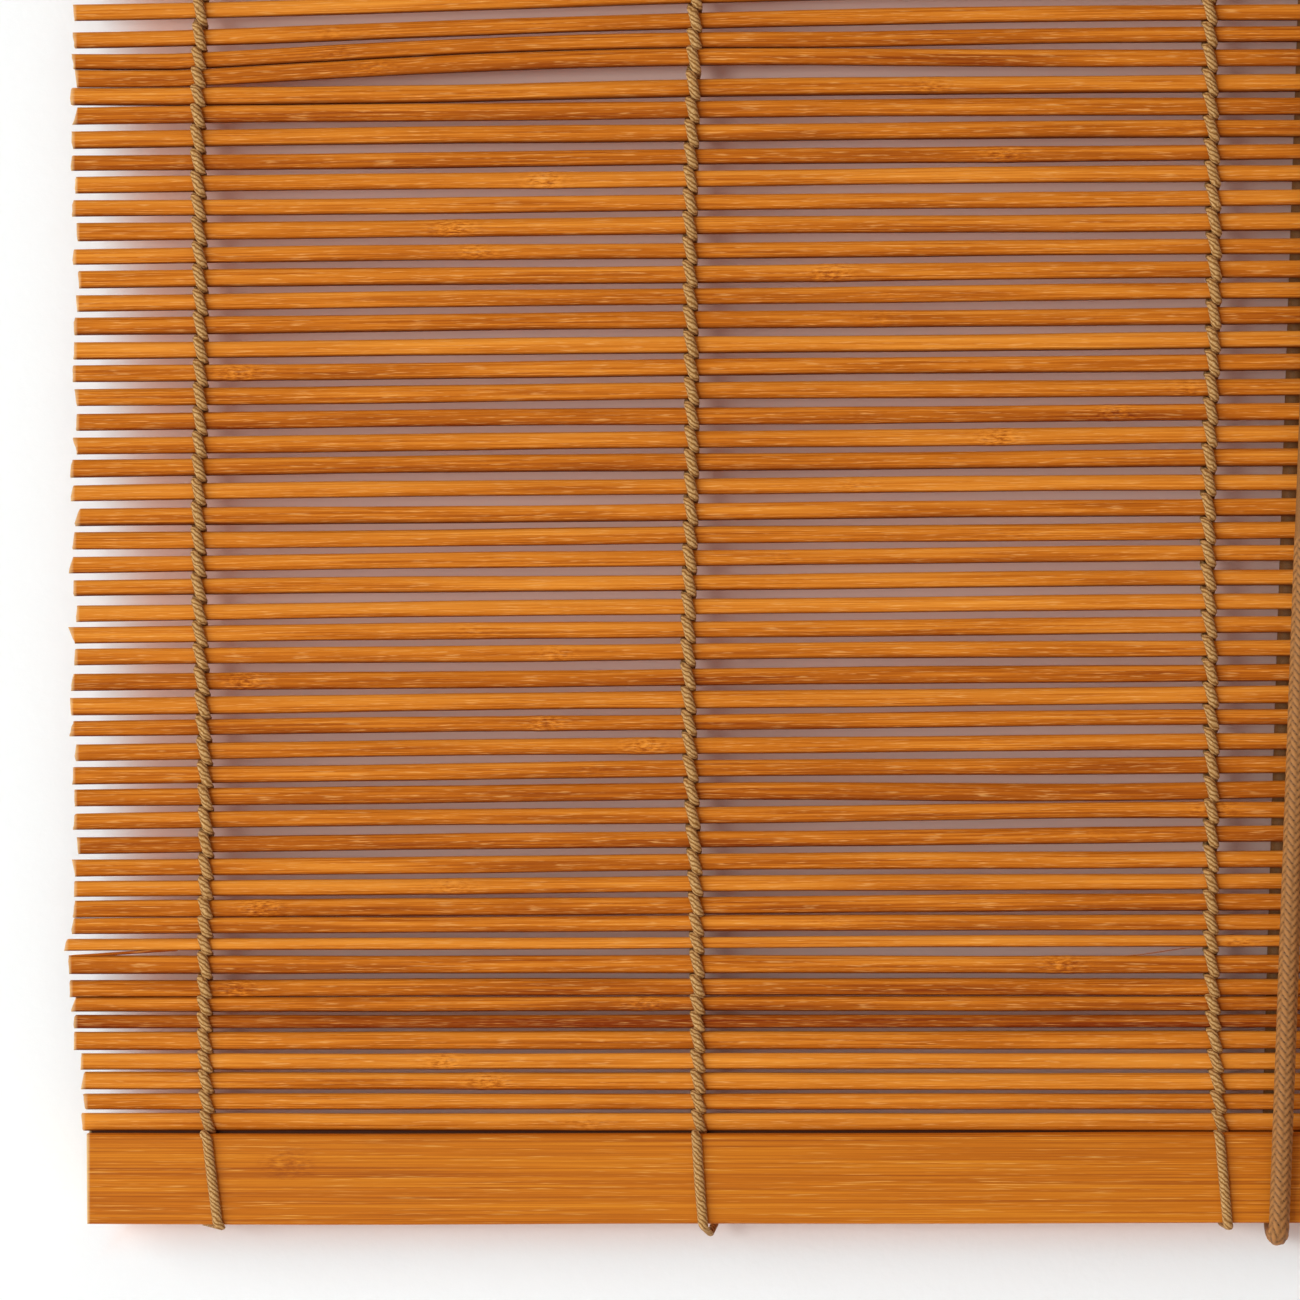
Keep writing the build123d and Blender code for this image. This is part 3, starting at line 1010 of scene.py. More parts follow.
    def rings(self) -> tuple[Array, Array, dict[str, Array]]:
        """Carry a rounded section along each middle line.

        The section is a superellipse: depth times a power of the cosine, height times a power of the sine.
        A knot swells it by two bell curves, a wide one out and a narrow one in. The end rings are slanted.

        Returns:
            Ring points, places along the reeds, and the tone, up, knot and end marks.
        """
        chance, count = self.chance, self.count
        by_knots = (self.knots[:, :, None] + np.array(self.knot_places)).reshape(count, -1)
        even = np.broadcast_to(self.even, (count, len(self.even)))
        along = np.sort(np.concatenate([even, by_knots], axis=1), axis=1)
        middle, half = (
            np.stack([np.interp(place, self.even, line) for place, line in zip(along, lines)])
            for lines in (self.middle, self.half)
        )
        off, strength = along[:, :, None] - self.knots[:, None, :], self.knot_strength[:, None, :]
        (swell_most, swell_reach), (pinch_most, pinch_reach) = self.knot_swell, self.knot_pinch
        bulge = swell_most * bell(off, swell_reach) - pinch_most * bell(off, pinch_reach)
        swell = 1 + (bulge * strength).sum(axis=2)
        knot_mark = (bell(off, self.knot_reach) * strength).sum(axis=2)
        turn = (np.arange(self.sides) + 0.5) * TURN / self.sides
        power = chance.uniform(*self.corner_powers, (count, 1, 1))
        deep = signed_power(np.cos(turn), power)
        tall = signed_power(np.sin(turn), power)
        local_y = -self.half_depth * chance.uniform(*self.depths, (count, 1, 1)) * swell[..., None] * deep
        local_z = (half * swell)[..., None] * tall
        roll = chance.normal(0, self.roll_spread, (count, 1))
        phase = chance.uniform(*self.roll_phases, (count, 1))
        roll = (roll + self.roll_wave * wave(along, self.roll_reach, phase))[..., None]
        turned_y = local_y * np.cos(roll) - local_z * np.sin(roll)
        turned_z = local_y * np.sin(roll) + local_z * np.cos(roll)
        stretch = (self.length + self.end_shift[:, 1:] - self.end_shift[:, :1]) / self.length
        x = self.left + self.end_shift[:, :1] + along * stretch
        slant = chance.normal(0, 1, (count, 2, 2)) * np.array(self.cut_slants)
        rough = chance.normal(0, self.cut_roughness, (count, 2, self.sides))
        x = np.repeat(x[..., None], self.sides, axis=2)
        for side, station in enumerate((0, -1)):
            tilt = slant[:, side, :1] * local_z[:, station] + slant[:, side, 1:] * local_y[:, station]
            x[:, station] += tilt + rough[:, side]
        y = self.y + chance.normal(0, self.depth_spread, (count, 1, 1)) + turned_y
        z = middle[..., None] + turned_z
        raw = np.clip(1 - np.minimum(along, self.length - along) / self.raw_reach, 0, self.raw_most)
        marks = {
            "tone": self.tone[:, None, None],
            # The height round the section, which the reed finish turns into painted top light and lower-edge
            # shade.
            "up": tall,
            "knot": np.clip(knot_mark, 0, 1)[..., None],
            "end": raw[..., None],
        }
        return np.stack(np.broadcast_arrays(x, y, z), axis=-1), along, marks

    def build(self, material: Material) -> list[bpy.types.Object]:
        """Make the mat in a lower and an upper half.

        Args:
            material: the reeds' finish.

        Returns:
            The two pieces.
        """
        rings, along, marks = self.rings()
        girth = 2 * (self.height + 2 * self.half_depth)
        around = np.linspace(0, girth, self.sides + 1) + 2 * girth * np.arange(self.count)[:, None]
        halves = {"reeds_lower": slice(0, self.count // 2), "reeds_upper": slice(self.count // 2, self.count)}
        pieces = []
        for name, rows in halves.items():
            part_marks = {key: mark[rows] for key, mark in marks.items()}
            tubes = Tubes(rings[rows], along[rows], around[rows], marks=part_marks)
            pieces.append(place_piece(tubes.mesh(name), material, "reed_mat"))
        return pieces


@dataclass
class WarpTwine:
    """One warp: two strands that change sides between all reeds, looped round the head and foot battens."""

    number: int
    mat: ReedMat
    half_width: float = 1.2 * MM
    half_depth: float = 0.85 * MM
    sway: float = 0.95 * MM
    foot_lean: float = 2.0 * MM
    foot_back: float = -2.6 * MM
    foot_sag: float = 0.0
    foot_drift: float = 3.2 * MM
    drift_reach: float = 45 * MM
    wander: float = 0.45 * MM
    steps: int = 8
    sides: int = 8
    reed_bend: float = 0.62
    batten_bend: float = 0.12
    wander_reaches: Pair = (260 * MM, 110 * MM)
    crossing_width: float = 0.72
    crossing_depth: float = 0.7
    first_seed: int = 100

    @property
    def node(self) -> str:
        """The CAD node that the warp stands for."""
        return f"warp_twine_{self.number}"

    def strand(self, first_side: int, x: float) -> tuple[Array, Array]:
        """One strand from the head's top to the foot's underside.

        At each reed or batten the strand runs a half turn: across it as depth times a power of the cosine,
        down it as half its pitch times a power of the sine, and along the blind from one side to the other.

        Args:
            first_side: 1 if the strand starts in front of the head, -1 if behind it.
            x: the warp's place along the blind.

        Returns:
            Places, and how far each is from a change of sides, from 0 to 1.
        """
        mat = self.mat
        middle, half = mat.section_at(x)
        head_lo, head_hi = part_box("head_batten_front")
        foot_lo, foot_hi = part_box("bottom_batten_front")
        tops = np.concatenate([[head_hi.z], (middle + half)[::-1], [foot_hi.z]])
        bottoms = np.concatenate([[head_lo.z], (middle - half)[::-1], [foot_lo.z]])
        edges = np.concatenate(
            [[tops[0] + self.half_depth], (bottoms[:-1] + tops[1:]) / 2, [bottoms[-1] - self.half_depth]]
        )
        count = len(tops)
        batten_depth = mat.y - head_lo.y
        depth = np.full(count, mat.half_depth) + self.half_depth
        depth[[0, -1]] = batten_depth + self.half_depth
        bend = np.full((count, 1), self.reed_bend)
        bend[[0, -1]] = self.batten_bend
        side = first_side * np.where(np.arange(count) % 2 == 0, 1, -1)
        start, end = -side * self.sway, side * self.sway
        start[0], end[-1] = 0.0, self.foot_lean if first_side > 0 else self.foot_back
        turn = np.linspace(-math.pi / 2, math.pi / 2, self.steps + 1)[:-1]
        fall = signed_power(np.sin(turn), bend)
        out = np.abs(np.cos(turn)) ** bend
        z = ((edges[:-1] + edges[1:]) / 2)[:, None] - ((edges[:-1] - edges[1:]) / 2)[:, None] * fall
        y = mat.y - (side * depth)[:, None] * out
        across = start[:, None] + (end - start)[:, None] * (1 + np.sin(turn)) / 2
        points = np.stack([x + across, y, z], axis=-1).reshape(-1, 3)
        spread = np.broadcast_to(np.abs(np.cos(turn)), z.shape).reshape(-1)
        last = np.array([[x + (self.foot_lean + self.foot_back) / 2, mat.y, edges[-1] - self.foot_sag]])
        return np.concatenate([points, last]), np.concatenate([spread, [0.0]])

    def build(self, material: Material) -> bpy.types.Object:
        """Carry a flattened round section down one strand and up the other, as one endless loop.

        Args:
            material: the twine's finish.

        Returns:
            The warp's piece.
        """
        lo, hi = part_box(self.node)
        x = (lo.x + hi.x) / 2
        down, down_spread = self.strand(1, x)
        up, up_spread = self.strand(-1, x)
        points = np.concatenate([down, up[-2:0:-1]])
        spread = np.concatenate([down_spread, up_spread[-2:0:-1]])
        chance = np.random.default_rng(self.first_seed + self.number)
        height = points[:, 2] - lo.z
        for reach in self.wander_reaches:
            points[:, 0] += self.wander * wave(height, reach, chance.uniform(0, TURN))
        points[:, 0] += self.foot_drift * np.exp(-height / self.drift_reach)
        side, across = frames_along(points, (1, 0, 0), closed=True)
        width = self.half_width * (self.crossing_width + (1 - self.crossing_width) * spread)
        depth = self.half_depth * (self.crossing_depth + (1 - self.crossing_depth) * spread)
        rings = rings_round(points, side, across, width[:, None], depth[:, None], self.sides)
        step = np.linalg.norm(np.roll(points, -1, axis=0) - points, axis=1)
        along = np.concatenate([[0], np.cumsum(step)])
        around = np.linspace(0, 1, self.sides + 1)
        tubes = one_tube(rings, along, around, closed=True)
        return place_piece(tubes.mesh(f"twined_warp_{self.number}"), material, self.node)


WARP_COUNT = 8
WARP_FEET = {
    2: {"foot_lean": -0.2 * MM, "foot_back": 2.4 * MM, "foot_sag": 1.9 * MM},
    3: {"foot_lean": 0.0, "foot_back": -0.8 * MM},
    6: {"foot_lean": 1.2 * MM, "foot_back": 3.4 * MM, "foot_sag": 0.8 * MM},
}


@dataclass(frozen=True)
class Stray:
    """A fibre that has come away: it leaves one reed's top at its start and ends at the next reed."""

    reed: int
    start: float
    end: float
    radius: float


@dataclass
class LooseFibres:
    """The splinter at a split reed's end and a hair that bridges a gap."""

    mat: ReedMat
    strays: tuple[Stray, ...] = (
        Stray(8, -451.2 * MM, -426 * MM, 0.42 * MM),
        Stray(8, -205 * MM, -186 * MM, 0.12 * MM),
    )
    stations: int = 26
    sides: int = 6
    dark: float = -1.0
    forward: float = 0.7
    tip: float = 0.2
    girth: float = 2 * MM

    def build(self, material: Material) -> bpy.types.Object:
        """Carry a thin round section from reed to reed.

        The height rises by a smooth step, and the radius is a root of the half sine wave.

        Args:
            material: the reeds' finish.

        Returns:
            The fibres' piece.
        """
        share = np.linspace(0, 1, self.stations)
        rings, along = [], []
        for stray in self.strays:
            middle, half = self.mat.section_at(stray.start)
            low = middle[stray.reed] + half[stray.reed]
            middle, half = self.mat.section_at(stray.end)
            high = middle[stray.reed + 1] - half[stray.reed + 1]
            x = stray.start + (stray.end - stray.start) * share
            y = np.full_like(share, self.mat.y - self.forward * self.mat.half_depth)
            points = np.stack([x, y, low + (high - low) * smooth_step(share)], axis=1)
            side, across = frames_along(points, (0, 1, 0), closed=False)
            radius = stray.radius * (self.tip + (1 - self.tip) * np.sqrt(np.sin(math.pi * share)))[:, None]
            rings.append(rings_round(points, side, across, radius, radius, self.sides))
            along.append(x - stray.start)
        marks = {"tone": np.array(self.dark), "knot": np.array(0.0), "end": np.array(0.0)}
        around = np.broadcast_to(np.linspace(0, self.girth, self.sides + 1), (len(rings), self.sides + 1))
        tubes = Tubes(np.stack(rings), np.stack(along), around, marks=marks)
        return place_piece(tubes.mesh("loose_fibres"), material, "reed_mat")


@dataclass
class Slat:
    """A flat bamboo batten: a rounded rectangle along the blind, hardly bowed, sawn at both ends."""

    node: str
    seed: int
    edge_radius: float = 0.8 * MM
    corner_steps: int = 4
    lift: float = 0.0
    # Share of painted shade on the upper front edge, for a batten seen in a shadowed gap.
    painted_gap_shade: float = 0.0
    stations: int = 70
    end_places: tuple[float, ...] = (0, 0.25 * MM, 0.8 * MM, 3 * MM)
    even_from: float = 9 * MM
    bows: tuple[Pair, ...] = ((0.18 * MM, 520 * MM), (0.072 * MM, 130 * MM))
    cup: float = 0.004
    cup_reach: float = 210 * MM
    saw_spread: float = 0.012
    raw_reach: float = 0.6 * MM

    def build(self, material: Material) -> bpy.types.Object:
        """Carry the section along the batten: corner middles plus a radius at the turning angle.

        Args:
            material: the batten's finish.

        Returns:
            The batten's piece.
        """
        lo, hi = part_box(self.node)
        chance = np.random.default_rng(self.seed)
        corner = np.repeat(np.arange(4), self.corner_steps + 1)
        step = np.tile(np.linspace(0, 1, self.corner_steps + 1), 4)
        turn = (corner + step) * math.pi / 2
        half_y, half_z = (hi.y - lo.y) / 2 - self.edge_radius, (hi.z - lo.z) / 2 - self.edge_radius
        in_front = (corner == 0) | (corner == 3)
        section_y = -(np.where(in_front, half_y, -half_y) + self.edge_radius * np.cos(turn))
        section_z = np.where(corner < 2, half_z, -half_z) + self.edge_radius * np.sin(turn)
        length = hi.x - lo.x
        ends = np.array(self.end_places)
        inner = np.linspace(self.even_from, length - self.even_from, self.stations)
        along = np.concatenate([ends, inner, length - ends[::-1]])
        phase = chance.uniform(0, TURN, 4)
        bowed = [bow * wave(along, reach, start) for (bow, reach), start in zip(self.bows, phase)]
        lift = self.lift + sum(bowed)
        cup = 1 + self.cup * wave(along, self.cup_reach, phase[2])
        y = (lo.y + hi.y) / 2 + section_y * np.ones_like(along)[:, None]
        z = (lo.z + hi.z) / 2 + lift[:, None] + section_z * cup[:, None]
        x = np.broadcast_to(lo.x + along[:, None], y.shape).copy()
        saw = chance.normal(0, self.saw_spread, 2)
        x[0] += saw[0] * section_z
        x[-1] += saw[1] * section_z
        end = np.clip(1 - np.minimum(along, length - along) / self.raw_reach, 0, 1)
        girth = np.linspace(0, 2 * (hi.y - lo.y + hi.z - lo.z), len(turn) + 1)
        # Painted shade goes on the upper front corner's points only.
        marks = {"end": end[:, None], "painted_gap_shade": self.painted_gap_shade * (corner == 0)}
        tubes = one_tube(np.stack([x, y, z], axis=-1), along, girth, marks=marks)
        return place_piece(tubes.mesh(f"slat_{self.node}"), material, self.node)


BATTENS = {
    "bottom_batten_front": {},
    # The rear foot batten gets painted shade where it shows in the gap above the front one.
    "bottom_batten_rear": {"lift": 1.2 * MM, "painted_gap_shade": 0.95},
    "head_batten_front": {},
    "head_batten_rear": {},
}


@dataclass
class LiftCord:
    """A braided lift cord: down the back, round the foot, up the front, over its sheaves and into the pull.

    The route's points are millimetres. The braid stands out in the mesh where the rings are fine.
    """

    node: str
    route: tuple[Triple, ...]
    length: float
    fine_below: float
    diameter: float = 4.8 * MM
    sides: int = 40
    columns: int = 8
    stitch: float = 2.0 * MM
    pad_lean: float = 1.0
    pad_reach: float = 0.66
    relief: float = 0.5 * MM
    fine_step: float = 0.27 * MM
    plain_step: float = 1.4 * MM
    front_share: float = 0.6
    plain_height: float = 0.6
    mean_height: float = 0.85
    spline_order: int = 3
    spline_steps: int = 24
    side_hint: Triple = (1, 1, 0)

    def centreline(self) -> Array:
        """Lay a NURBS spline along the route, whose points pull it.

        Returns:
            Closely spaced points read off the spline.
        """
        curve = bpy.data.curves.new(f"{self.node}_route", "CURVE")
        curve.dimensions = "3D"
        curve.resolution_u = self.spline_steps
        spline = curve.splines.new("NURBS")
        spline.points.add(len(self.route) - 1)
        places = np.array(self.route) * MM
        spline.points.foreach_set("co", np.column_stack([places, np.ones(len(places))]).ravel())
        spline.order_u = self.spline_order
        spline.use_endpoint_u = True
        holder = bpy.data.objects.new(curve.name, curve)
        bpy.context.scene.collection.objects.link(holder)
        bpy.context.view_layer.update()
        line = bpy.data.meshes.new_from_object(holder)
        points = np.empty(len(line.vertices) * 3)
        line.vertices.foreach_get("co", points)
        bpy.data.objects.remove(holder)
        bpy.data.curves.remove(curve)
        bpy.data.meshes.remove(line)
        return points.reshape(-1, 3)

    def stations(self, line: Array) -> tuple[Array, Array, Array]:
        """Space rings along the line: fine on the low front run, plain elsewhere.

        Args:
            line: points read off the spline.

        Returns:
            Ring places, their way along the cord, and how fine each is, from 0 to 1.
        """
        step = np.linalg.norm(np.diff(line, axis=0), axis=1)
        way = np.concatenate([[0], np.cumsum(step)])
        even = np.arange(0, way[-1], self.fine_step)
        height = np.interp(even, way, line[:, 2])
        after_foot = even > even[np.argmin(height)]
        in_front = after_foot & (even < way[-1] * self.front_share)
        fine = np.where(in_front & (height < self.fine_below), 1.0, 0.0)
        spacing = self.plain_step + (self.fine_step - self.plain_step) * fine
        number = np.concatenate([[0], np.cumsum(np.diff(even) / spacing[1:])])
        along = np.interp(np.linspace(0, number[-1], int(number[-1]) + 1), number, even)
        points = np.stack([np.interp(along, way, line[:, axis]) for axis in range(3)], axis=1)
        return points, along, np.interp(along, even, fine)

    def braid(self, along: Array) -> Array:
        """Height of the braid, from 0 to 1, on the unrolled cord.

        Columns of pads lean left and right in turn, half a pad apart, so that two make a V. A pad is the root
        of one parabola along the cord times one across its column. It reaches past its column, and the
        highest of three neighbouring columns counts.

        Args:
            along: way along the cord at each ring.

        Returns:
            Heights as (rings, sides).
        """
        column = np.arange(self.sides) / self.sides * self.columns
        number = np.floor(column) + np.array([-1, 0, 1])[:, None]
        across = column - number - 0.5
        odd = number % 2
        pad = along[:, None, None] / self.stitch + self.pad_lean * (1 - 2 * odd) * across + odd / 2
        ridge = 1 - (2 * (pad % 1) - 1) ** 2
        body = np.clip(1 - (across / self.pad_reach) ** 2, 0, 1)
        return np.sqrt(ridge * body).max(axis=1)

    def build(self, material: Material) -> bpy.types.Object:
        """Args:
            material: the cord's finish.

        Returns:
            The cord's piece.
        """
        line = self.centreline()
        points, along, fine = self.stations(line)
        side, across = frames_along(points, self.side_hint, closed=False)
        height = self.braid(along) * fine[:, None] + self.plain_height * (1 - fine[:, None])
        radius = self.diameter / 2 + self.relief * (height - self.mean_height)
        rings = rings_round(points, side, across, radius, radius, self.sides)
        around = np.linspace(0, 1, self.sides + 1)
        tubes = one_tube(rings, along, around, marks={"braid": height})
        cord = place_piece(tubes.mesh(f"braided_{self.node}"), material, self.node)
        return cord


LEFT_ROUTE = (
    (-147.6, -4.3, -20.45),
    (-148.7, -4.3, -49.5),
    (-169.6, -4.3, -673.8),
    (-169.0, -4.3, -695.8),
    (-168.9, -4.3, -702.8),
    (-169.0, -12.0, -702.8),
    (-169.2, -19.7, -702.8),
    (-168.9, -19.7, -695.8),
    (-168.1, -19.8, -673.8),
    (-144.9, -21.7, -37.0),
    (-144.2, -21.8, -16.8),
    (-124.0, -21.8, -16.8),
    (124.0, -21.8, -16.8),
    (144.2, -21.8, -16.8),
    (144.2, -21.85, -37.0),
    (144.2, -22.6, -329.0),
    (144.2, -22.65, -358.0),
)
RIGHT_ROUTE = (
    (122.4, -4.3, -20.45),
    (122.4, -4.3, -49.5),
    (122.8, -4.3, -673.8),
    (124.0, -4.3, -695.8),
    (124.3, -4.3, -702.8),
    (125.0, -12.0, -702.8),
    (125.8, -19.7, -702.8),
    (125.8, -19.8, -695.8),
    (125.8, -20.1, -673.8),
    (125.8, -28.3, -46.0),
    (125.8, -28.7, -16.8),
    (144.2, -28.7, -16.8),
    (144.2, -28.6, -46.0),
    (144.2, -27.9, -329.0),
    (144.2, -27.85, -358.0),
)


@dataclass
class CordKnot:
    """A tight round knot in the cord: an egg whose skin carries slanting turns of cord."""

    node: str
    turns: int = 3
    ridge: float = 0.09
    # Braid mark between the turns, which sets the painted shade there.
    valley_shade: float = 0.2
    poles: Pair = (0.06, 0.94)
    fullness: float = 0.7
    stations: int = 28
    sides: int = 40

    def build(self, material: Material) -> bpy.types.Object:
        """Swell an egg by ridges: the egg's radius times one plus a wave in (way round plus way down).

        Args:
            material: the cord's finish.

        Returns:
            The knot's piece.
        """
        lo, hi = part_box(self.node)
        centre = np.array([(a + b) / 2 for a, b in zip(lo, hi)])
        half = np.array([(b - a) / 2 for a, b in zip(lo, hi)])
        down = np.linspace(*self.poles, self.stations)[:, None] * math.pi
        turn = np.arange(self.sides)[None, :] * TURN / self.sides
        ridges = np.abs(np.sin(self.turns * down + turn))
        wide = np.sin(down) ** self.fullness * (1 - self.ridge + self.ridge * ridges)
        x = half[0] * wide * np.cos(turn)
        y = half[1] * wide * np.sin(turn)
        z = half[2] * np.cos(down) * np.ones_like(turn)
        rings = centre + np.stack([x, y, z], axis=-1)
        along, around = np.linspace(0, 2 * half[2], self.stations), np.linspace(0, 1, self.sides + 1)
        # Between the turns the braid mark is low, so the cord finish paints shade there.
        marks = {"braid": self.valley_shade + (1 - self.valley_shade) * ridges}
        tubes = one_tube(rings, along, around, marks=marks)
        return place_piece(tubes.mesh(f"tied_{self.node}"), material, self.node)


@dataclass
class WoodenPull:
    """The turned pull: a bellied outside with two turned lines, bored and hollowed inside."""

    node: str = "wooden_pull"
    neck: float = 7.2 * MM
    belly: float = 9.6 * MM
    foot: float = 8.0 * MM
    belly_share: float = 0.6
    hole: float = 5.3 * MM
    cavity: float = 6.5 * MM
    shoulder: float = 12.0 * MM
    line_depth: float = 0.45 * MM
    line_places: Pair = (0.16, 0.88)
    line_reach: float = 0.018
    edge: float = 0.5 * MM
    steps: int = 60
    sides: int = 56

    def build(self, material: Material) -> bpy.types.Object:
        """Turn a closed profile about the pull's axis.

        Outside, the radius is a parabola from neck to belly and one from belly to foot, less two bells.

        Args:
            material: the pull's finish.

        Returns:
            The pull's piece.
        """
        lo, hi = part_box(self.node)
        height = hi.z - lo.z
        share = np.linspace(0, 1, self.steps)
        away = share - self.belly_share
        above = self.belly - (self.belly - self.neck) * (away / self.belly_share) ** 2
        below = self.belly - (self.belly - self.foot) * (away / (1 - self.belly_share)) ** 2
        outside = np.where(away < 0, above, below)
        for place in self.line_places:
            outside = outside - self.line_depth * bell(share - place, self.line_reach)
        rounding = np.minimum(share, 1 - share) * height / self.edge
        outside = outside - self.edge * (1 - np.sqrt(1 - (1 - np.clip(rounding, 0, 1)) ** 2))
        radius = np.concatenate([outside, [self.cavity, self.cavity, self.hole, self.hole]])
        depth = np.concatenate([share * height, [height, self.shoulder, self.shoulder, 0.0]])
        turn = np.arange(self.sides) * TURN / self.sides
        x = (lo.x + hi.x) / 2 + radius[:, None] * np.cos(turn)
        y = (lo.y + hi.y) / 2 + radius[:, None] * np.sin(turn)
        z = np.broadcast_to(hi.z - depth[:, None], x.shape)
        step = np.hypot(np.diff(radius, append=radius[0]), np.diff(depth, append=depth[0]))
        along, around = np.concatenate([[0], np.cumsum(step)]), np.linspace(0, 1, self.sides + 1)
        tubes = one_tube(np.stack([x, y, z], axis=-1), along, around, closed=True)
        return place_piece(tubes.mesh("turned_pull"), material, self.node)


@dataclass
class Fittings:
    """Hangers, pulleys, screws and staples, which keep their CAD shapes."""

    steel_nodes: tuple[str, ...] = (
        "hanger_left",
        "hanger_right",
        "hanger_screws",
        "left_pulley_bracket",
        "left_pulley_pin",
        "right_pulley_bracket",
        "right_pulley_pin",
        "pulley_screws",
        "cord_staples",
    )
    nylon_nodes: tuple[str, ...] = (
        "left_pulley_sheave",
        "right_pulley_inner_sheave",
        "right_pulley_outer_sheave",
    )

    def dress(self, steel: Material, nylon: Material) -> None:
        """Give the steel and nylon nodes their finishes.

        Args:
            steel: finish of the metal fittings.
            nylon: finish of the sheaves.
        """
        for names, material in ((self.steel_nodes, steel), (self.nylon_nodes, nylon)):
            for name in names:
                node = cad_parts[name]
                node.data.materials.clear()
                node.data.materials.append(material)
                log.info("%s: %s", name, material.name)


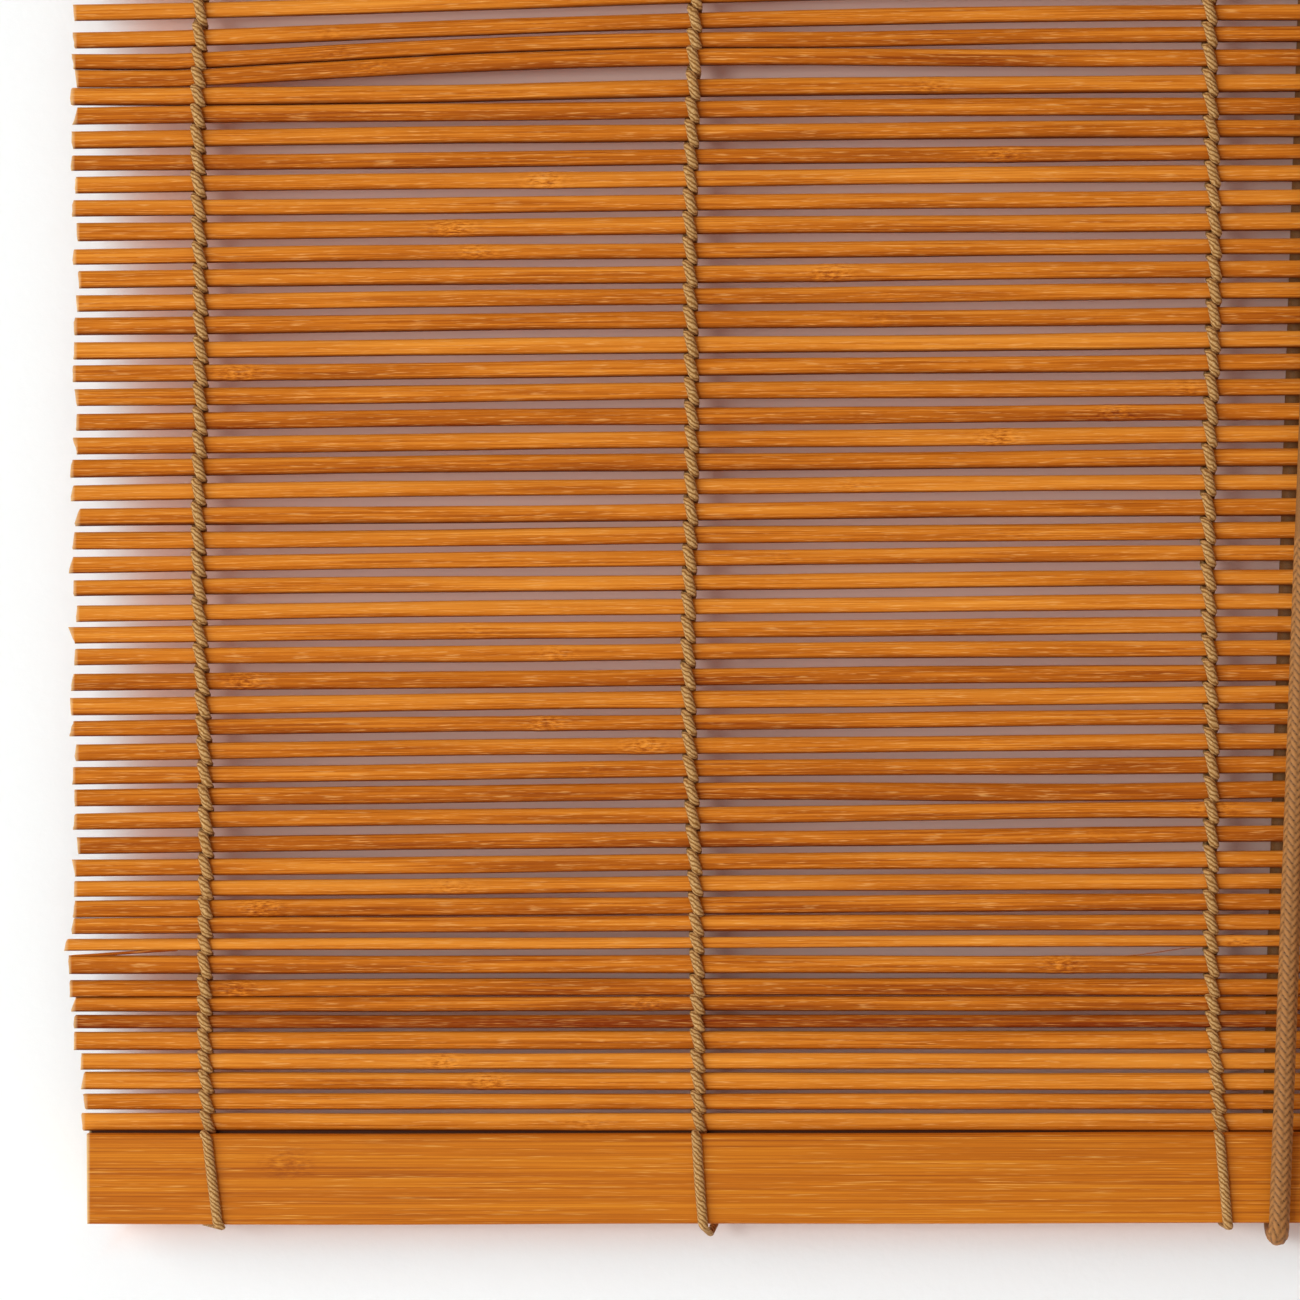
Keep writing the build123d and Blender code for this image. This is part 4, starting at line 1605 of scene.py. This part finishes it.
@dataclass
class Studio:
    """A white wall and floor, soft light from the upper left, and the camera of the photograph."""

    image_width: float = 303.3 * MM
    look_x: float = -315.6 * MM
    look_z: float = -566.2 * MM
    camera_way: float = 1500 * MM
    sharp_y: float = -17 * MM
    sensor: float = 36.0
    wall_gap: float = 1.5 * MM
    wall_half: float = 4.0
    floor_drop: float = 1.4
    key_from: Triple = (-1.3, -1.0, 0.31)
    key_way: float = 2.4
    key_size: float = 1.5
    key_power: float = 33.5
    fill_from: Triple = (-0.5, -1.0, 0.02)
    fill_way: float = 3.0
    fill_size: float = 0.8
    fill_power: float = 25.0
    world_level: float = 0.33
    world_slope: float = 0.6
    world_tint: str = "FFE2D8"
    world_seen: str = "FFFFFF"
    lamp_tint: str = "EBFBFF"
    clip_end: float = 100.0

    def panel(self, name: str, corners: list[Triple], material: Material) -> None:
        """Stand a flat backdrop in the scene.

        Args:
            name: name of the panel.
            corners: its four corners, counter-clockwise from the front.
            material: its finish.
        """
        mesh = bpy.data.meshes.new(name)
        mesh.from_pydata(corners, [], [(0, 1, 2, 3)])
        mesh.materials.append(material)
        panel = bpy.data.objects.new(name, mesh)
        bpy.context.scene.collection.objects.link(panel)

    def lamp(self, name: str, come_from: Triple, way: float, size: float, power: float) -> None:
        """Hang a round soft lamp that faces the middle of the picture.

        Args:
            name: name of the lamp.
            come_from: direction from the picture's middle to the lamp.
            way: distance between them.
            size: the lamp's diameter.
            power: its power in watts.
        """
        light = bpy.data.lights.new(name, "AREA")
        light.shape = "DISK"
        light.size = size
        light.energy = power
        light.color = hex_linear(self.lamp_tint)[:3]
        target = Vector((self.look_x, 0.0, self.look_z))
        direction = Vector(come_from).normalized()
        holder = bpy.data.objects.new(name, light)
        holder.location = target + direction * way
        holder.rotation_euler = (-direction).to_track_quat("-Z", "Y").to_euler()
        holder.visible_camera = False
        bpy.context.scene.collection.objects.link(holder)

    def build(self, plaster: Material) -> None:
        """Set up wall, floor, lamps, world and camera.

        Args:
            plaster: finish of the wall and floor.
        """
        half, y, low = self.wall_half, self.wall_gap, -self.floor_drop
        wall = [(-half, y, low), (half, y, low), (half, y, half), (-half, y, half)]
        floor = [(-half, -half, low), (half, -half, low), (half, y, low), (-half, y, low)]
        self.panel("wall", wall, plaster)
        self.panel("floor", floor, plaster)
        self.lamp("key", self.key_from, self.key_way, self.key_size, self.key_power)
        self.lamp("fill", self.fill_from, self.fill_way, self.fill_size, self.fill_power)
        self.light_world()
        camera = bpy.data.cameras.new("camera")
        camera.sensor_width = self.sensor
        camera.lens = self.sensor * self.camera_way / self.image_width
        camera.clip_end = self.clip_end
        holder = bpy.data.objects.new("camera", camera)
        holder.location = (self.look_x, self.sharp_y - self.camera_way, self.look_z)
        holder.rotation_euler = (math.pi / 2, 0, 0)
        bpy.context.scene.collection.objects.link(holder)
        bpy.context.scene.camera = holder
        bpy.context.scene.view_settings.view_transform = "Standard"

    def light_world(self) -> None:
        """Light from all round, more from above, seen as plain white by camera, mirror and glass rays."""
        world = bpy.data.worlds.new("studio")
        world.use_nodes = True
        bpy.context.scene.world = world
        tree = world.node_tree
        rays = add_node(tree, "ShaderNodeLightPath")
        seen = rays.outputs["Is Camera Ray"]
        paint = Paint(tree)
        for name in ("Is Glossy Ray", "Is Transmission Ray"):
            seen = paint.number("MAXIMUM", seen, rays.outputs[name])
        way = add_node(tree, "ShaderNodeTexCoord").outputs["Generated"]
        up = add_node(tree, "ShaderNodeSeparateXYZ", {}, {0: way}).outputs["Z"]
        level = paint.weigh(up, self.world_level * self.world_slope, self.world_level)
        # A mix node's numbers are its inputs 2 and 3.
        levels = {0: seen, 2: level, 3: 1.0}
        strength = add_node(tree, "ShaderNodeMix", {"data_type": "FLOAT"}, levels).outputs[0]
        tint = paint.mix(seen, self.world_tint, self.world_seen)
        feed(tree, tree.nodes["Background"], {"Strength": strength, "Color": tint})


def main() -> None:
    """Build the blind from the cords to the fittings, then the studio."""
    logging.basicConfig(level=logging.INFO, format="%(name)s %(message)s")
    braided = BraidedCord().make()
    LiftCord("lift_cord_left", LEFT_ROUTE, length=2.004, fine_below=-0.54).build(braided)
    LiftCord("lift_cord_right", RIGHT_ROUTE, length=1.733, fine_below=-1.0).build(braided)
    for node in ("anchor_knot_left", "anchor_knot_right", "pull_knot"):
        CordKnot(node).build(braided)
    mat = ReedMat()
    stained = StainedReed().make()
    mat.build(stained)
    LooseFibres(mat).build(stained)
    twine = TwistedTwine().make()
    for number in range(1, WARP_COUNT + 1):
        WarpTwine(number, mat, **WARP_FEET.get(number, {})).build(twine)
    bamboo = BambooSlat().make()
    for seed, (node, quirks) in enumerate(BATTENS.items()):
        Slat(node, seed, **quirks).build(bamboo)
    WoodenPull().build(TurnedWood().make())
    Fittings().dress(ZincSteel().make(), MouldedNylon().make())
    Studio().build(PaintedPlaster().make())


if __name__ == "__main__":
    main()
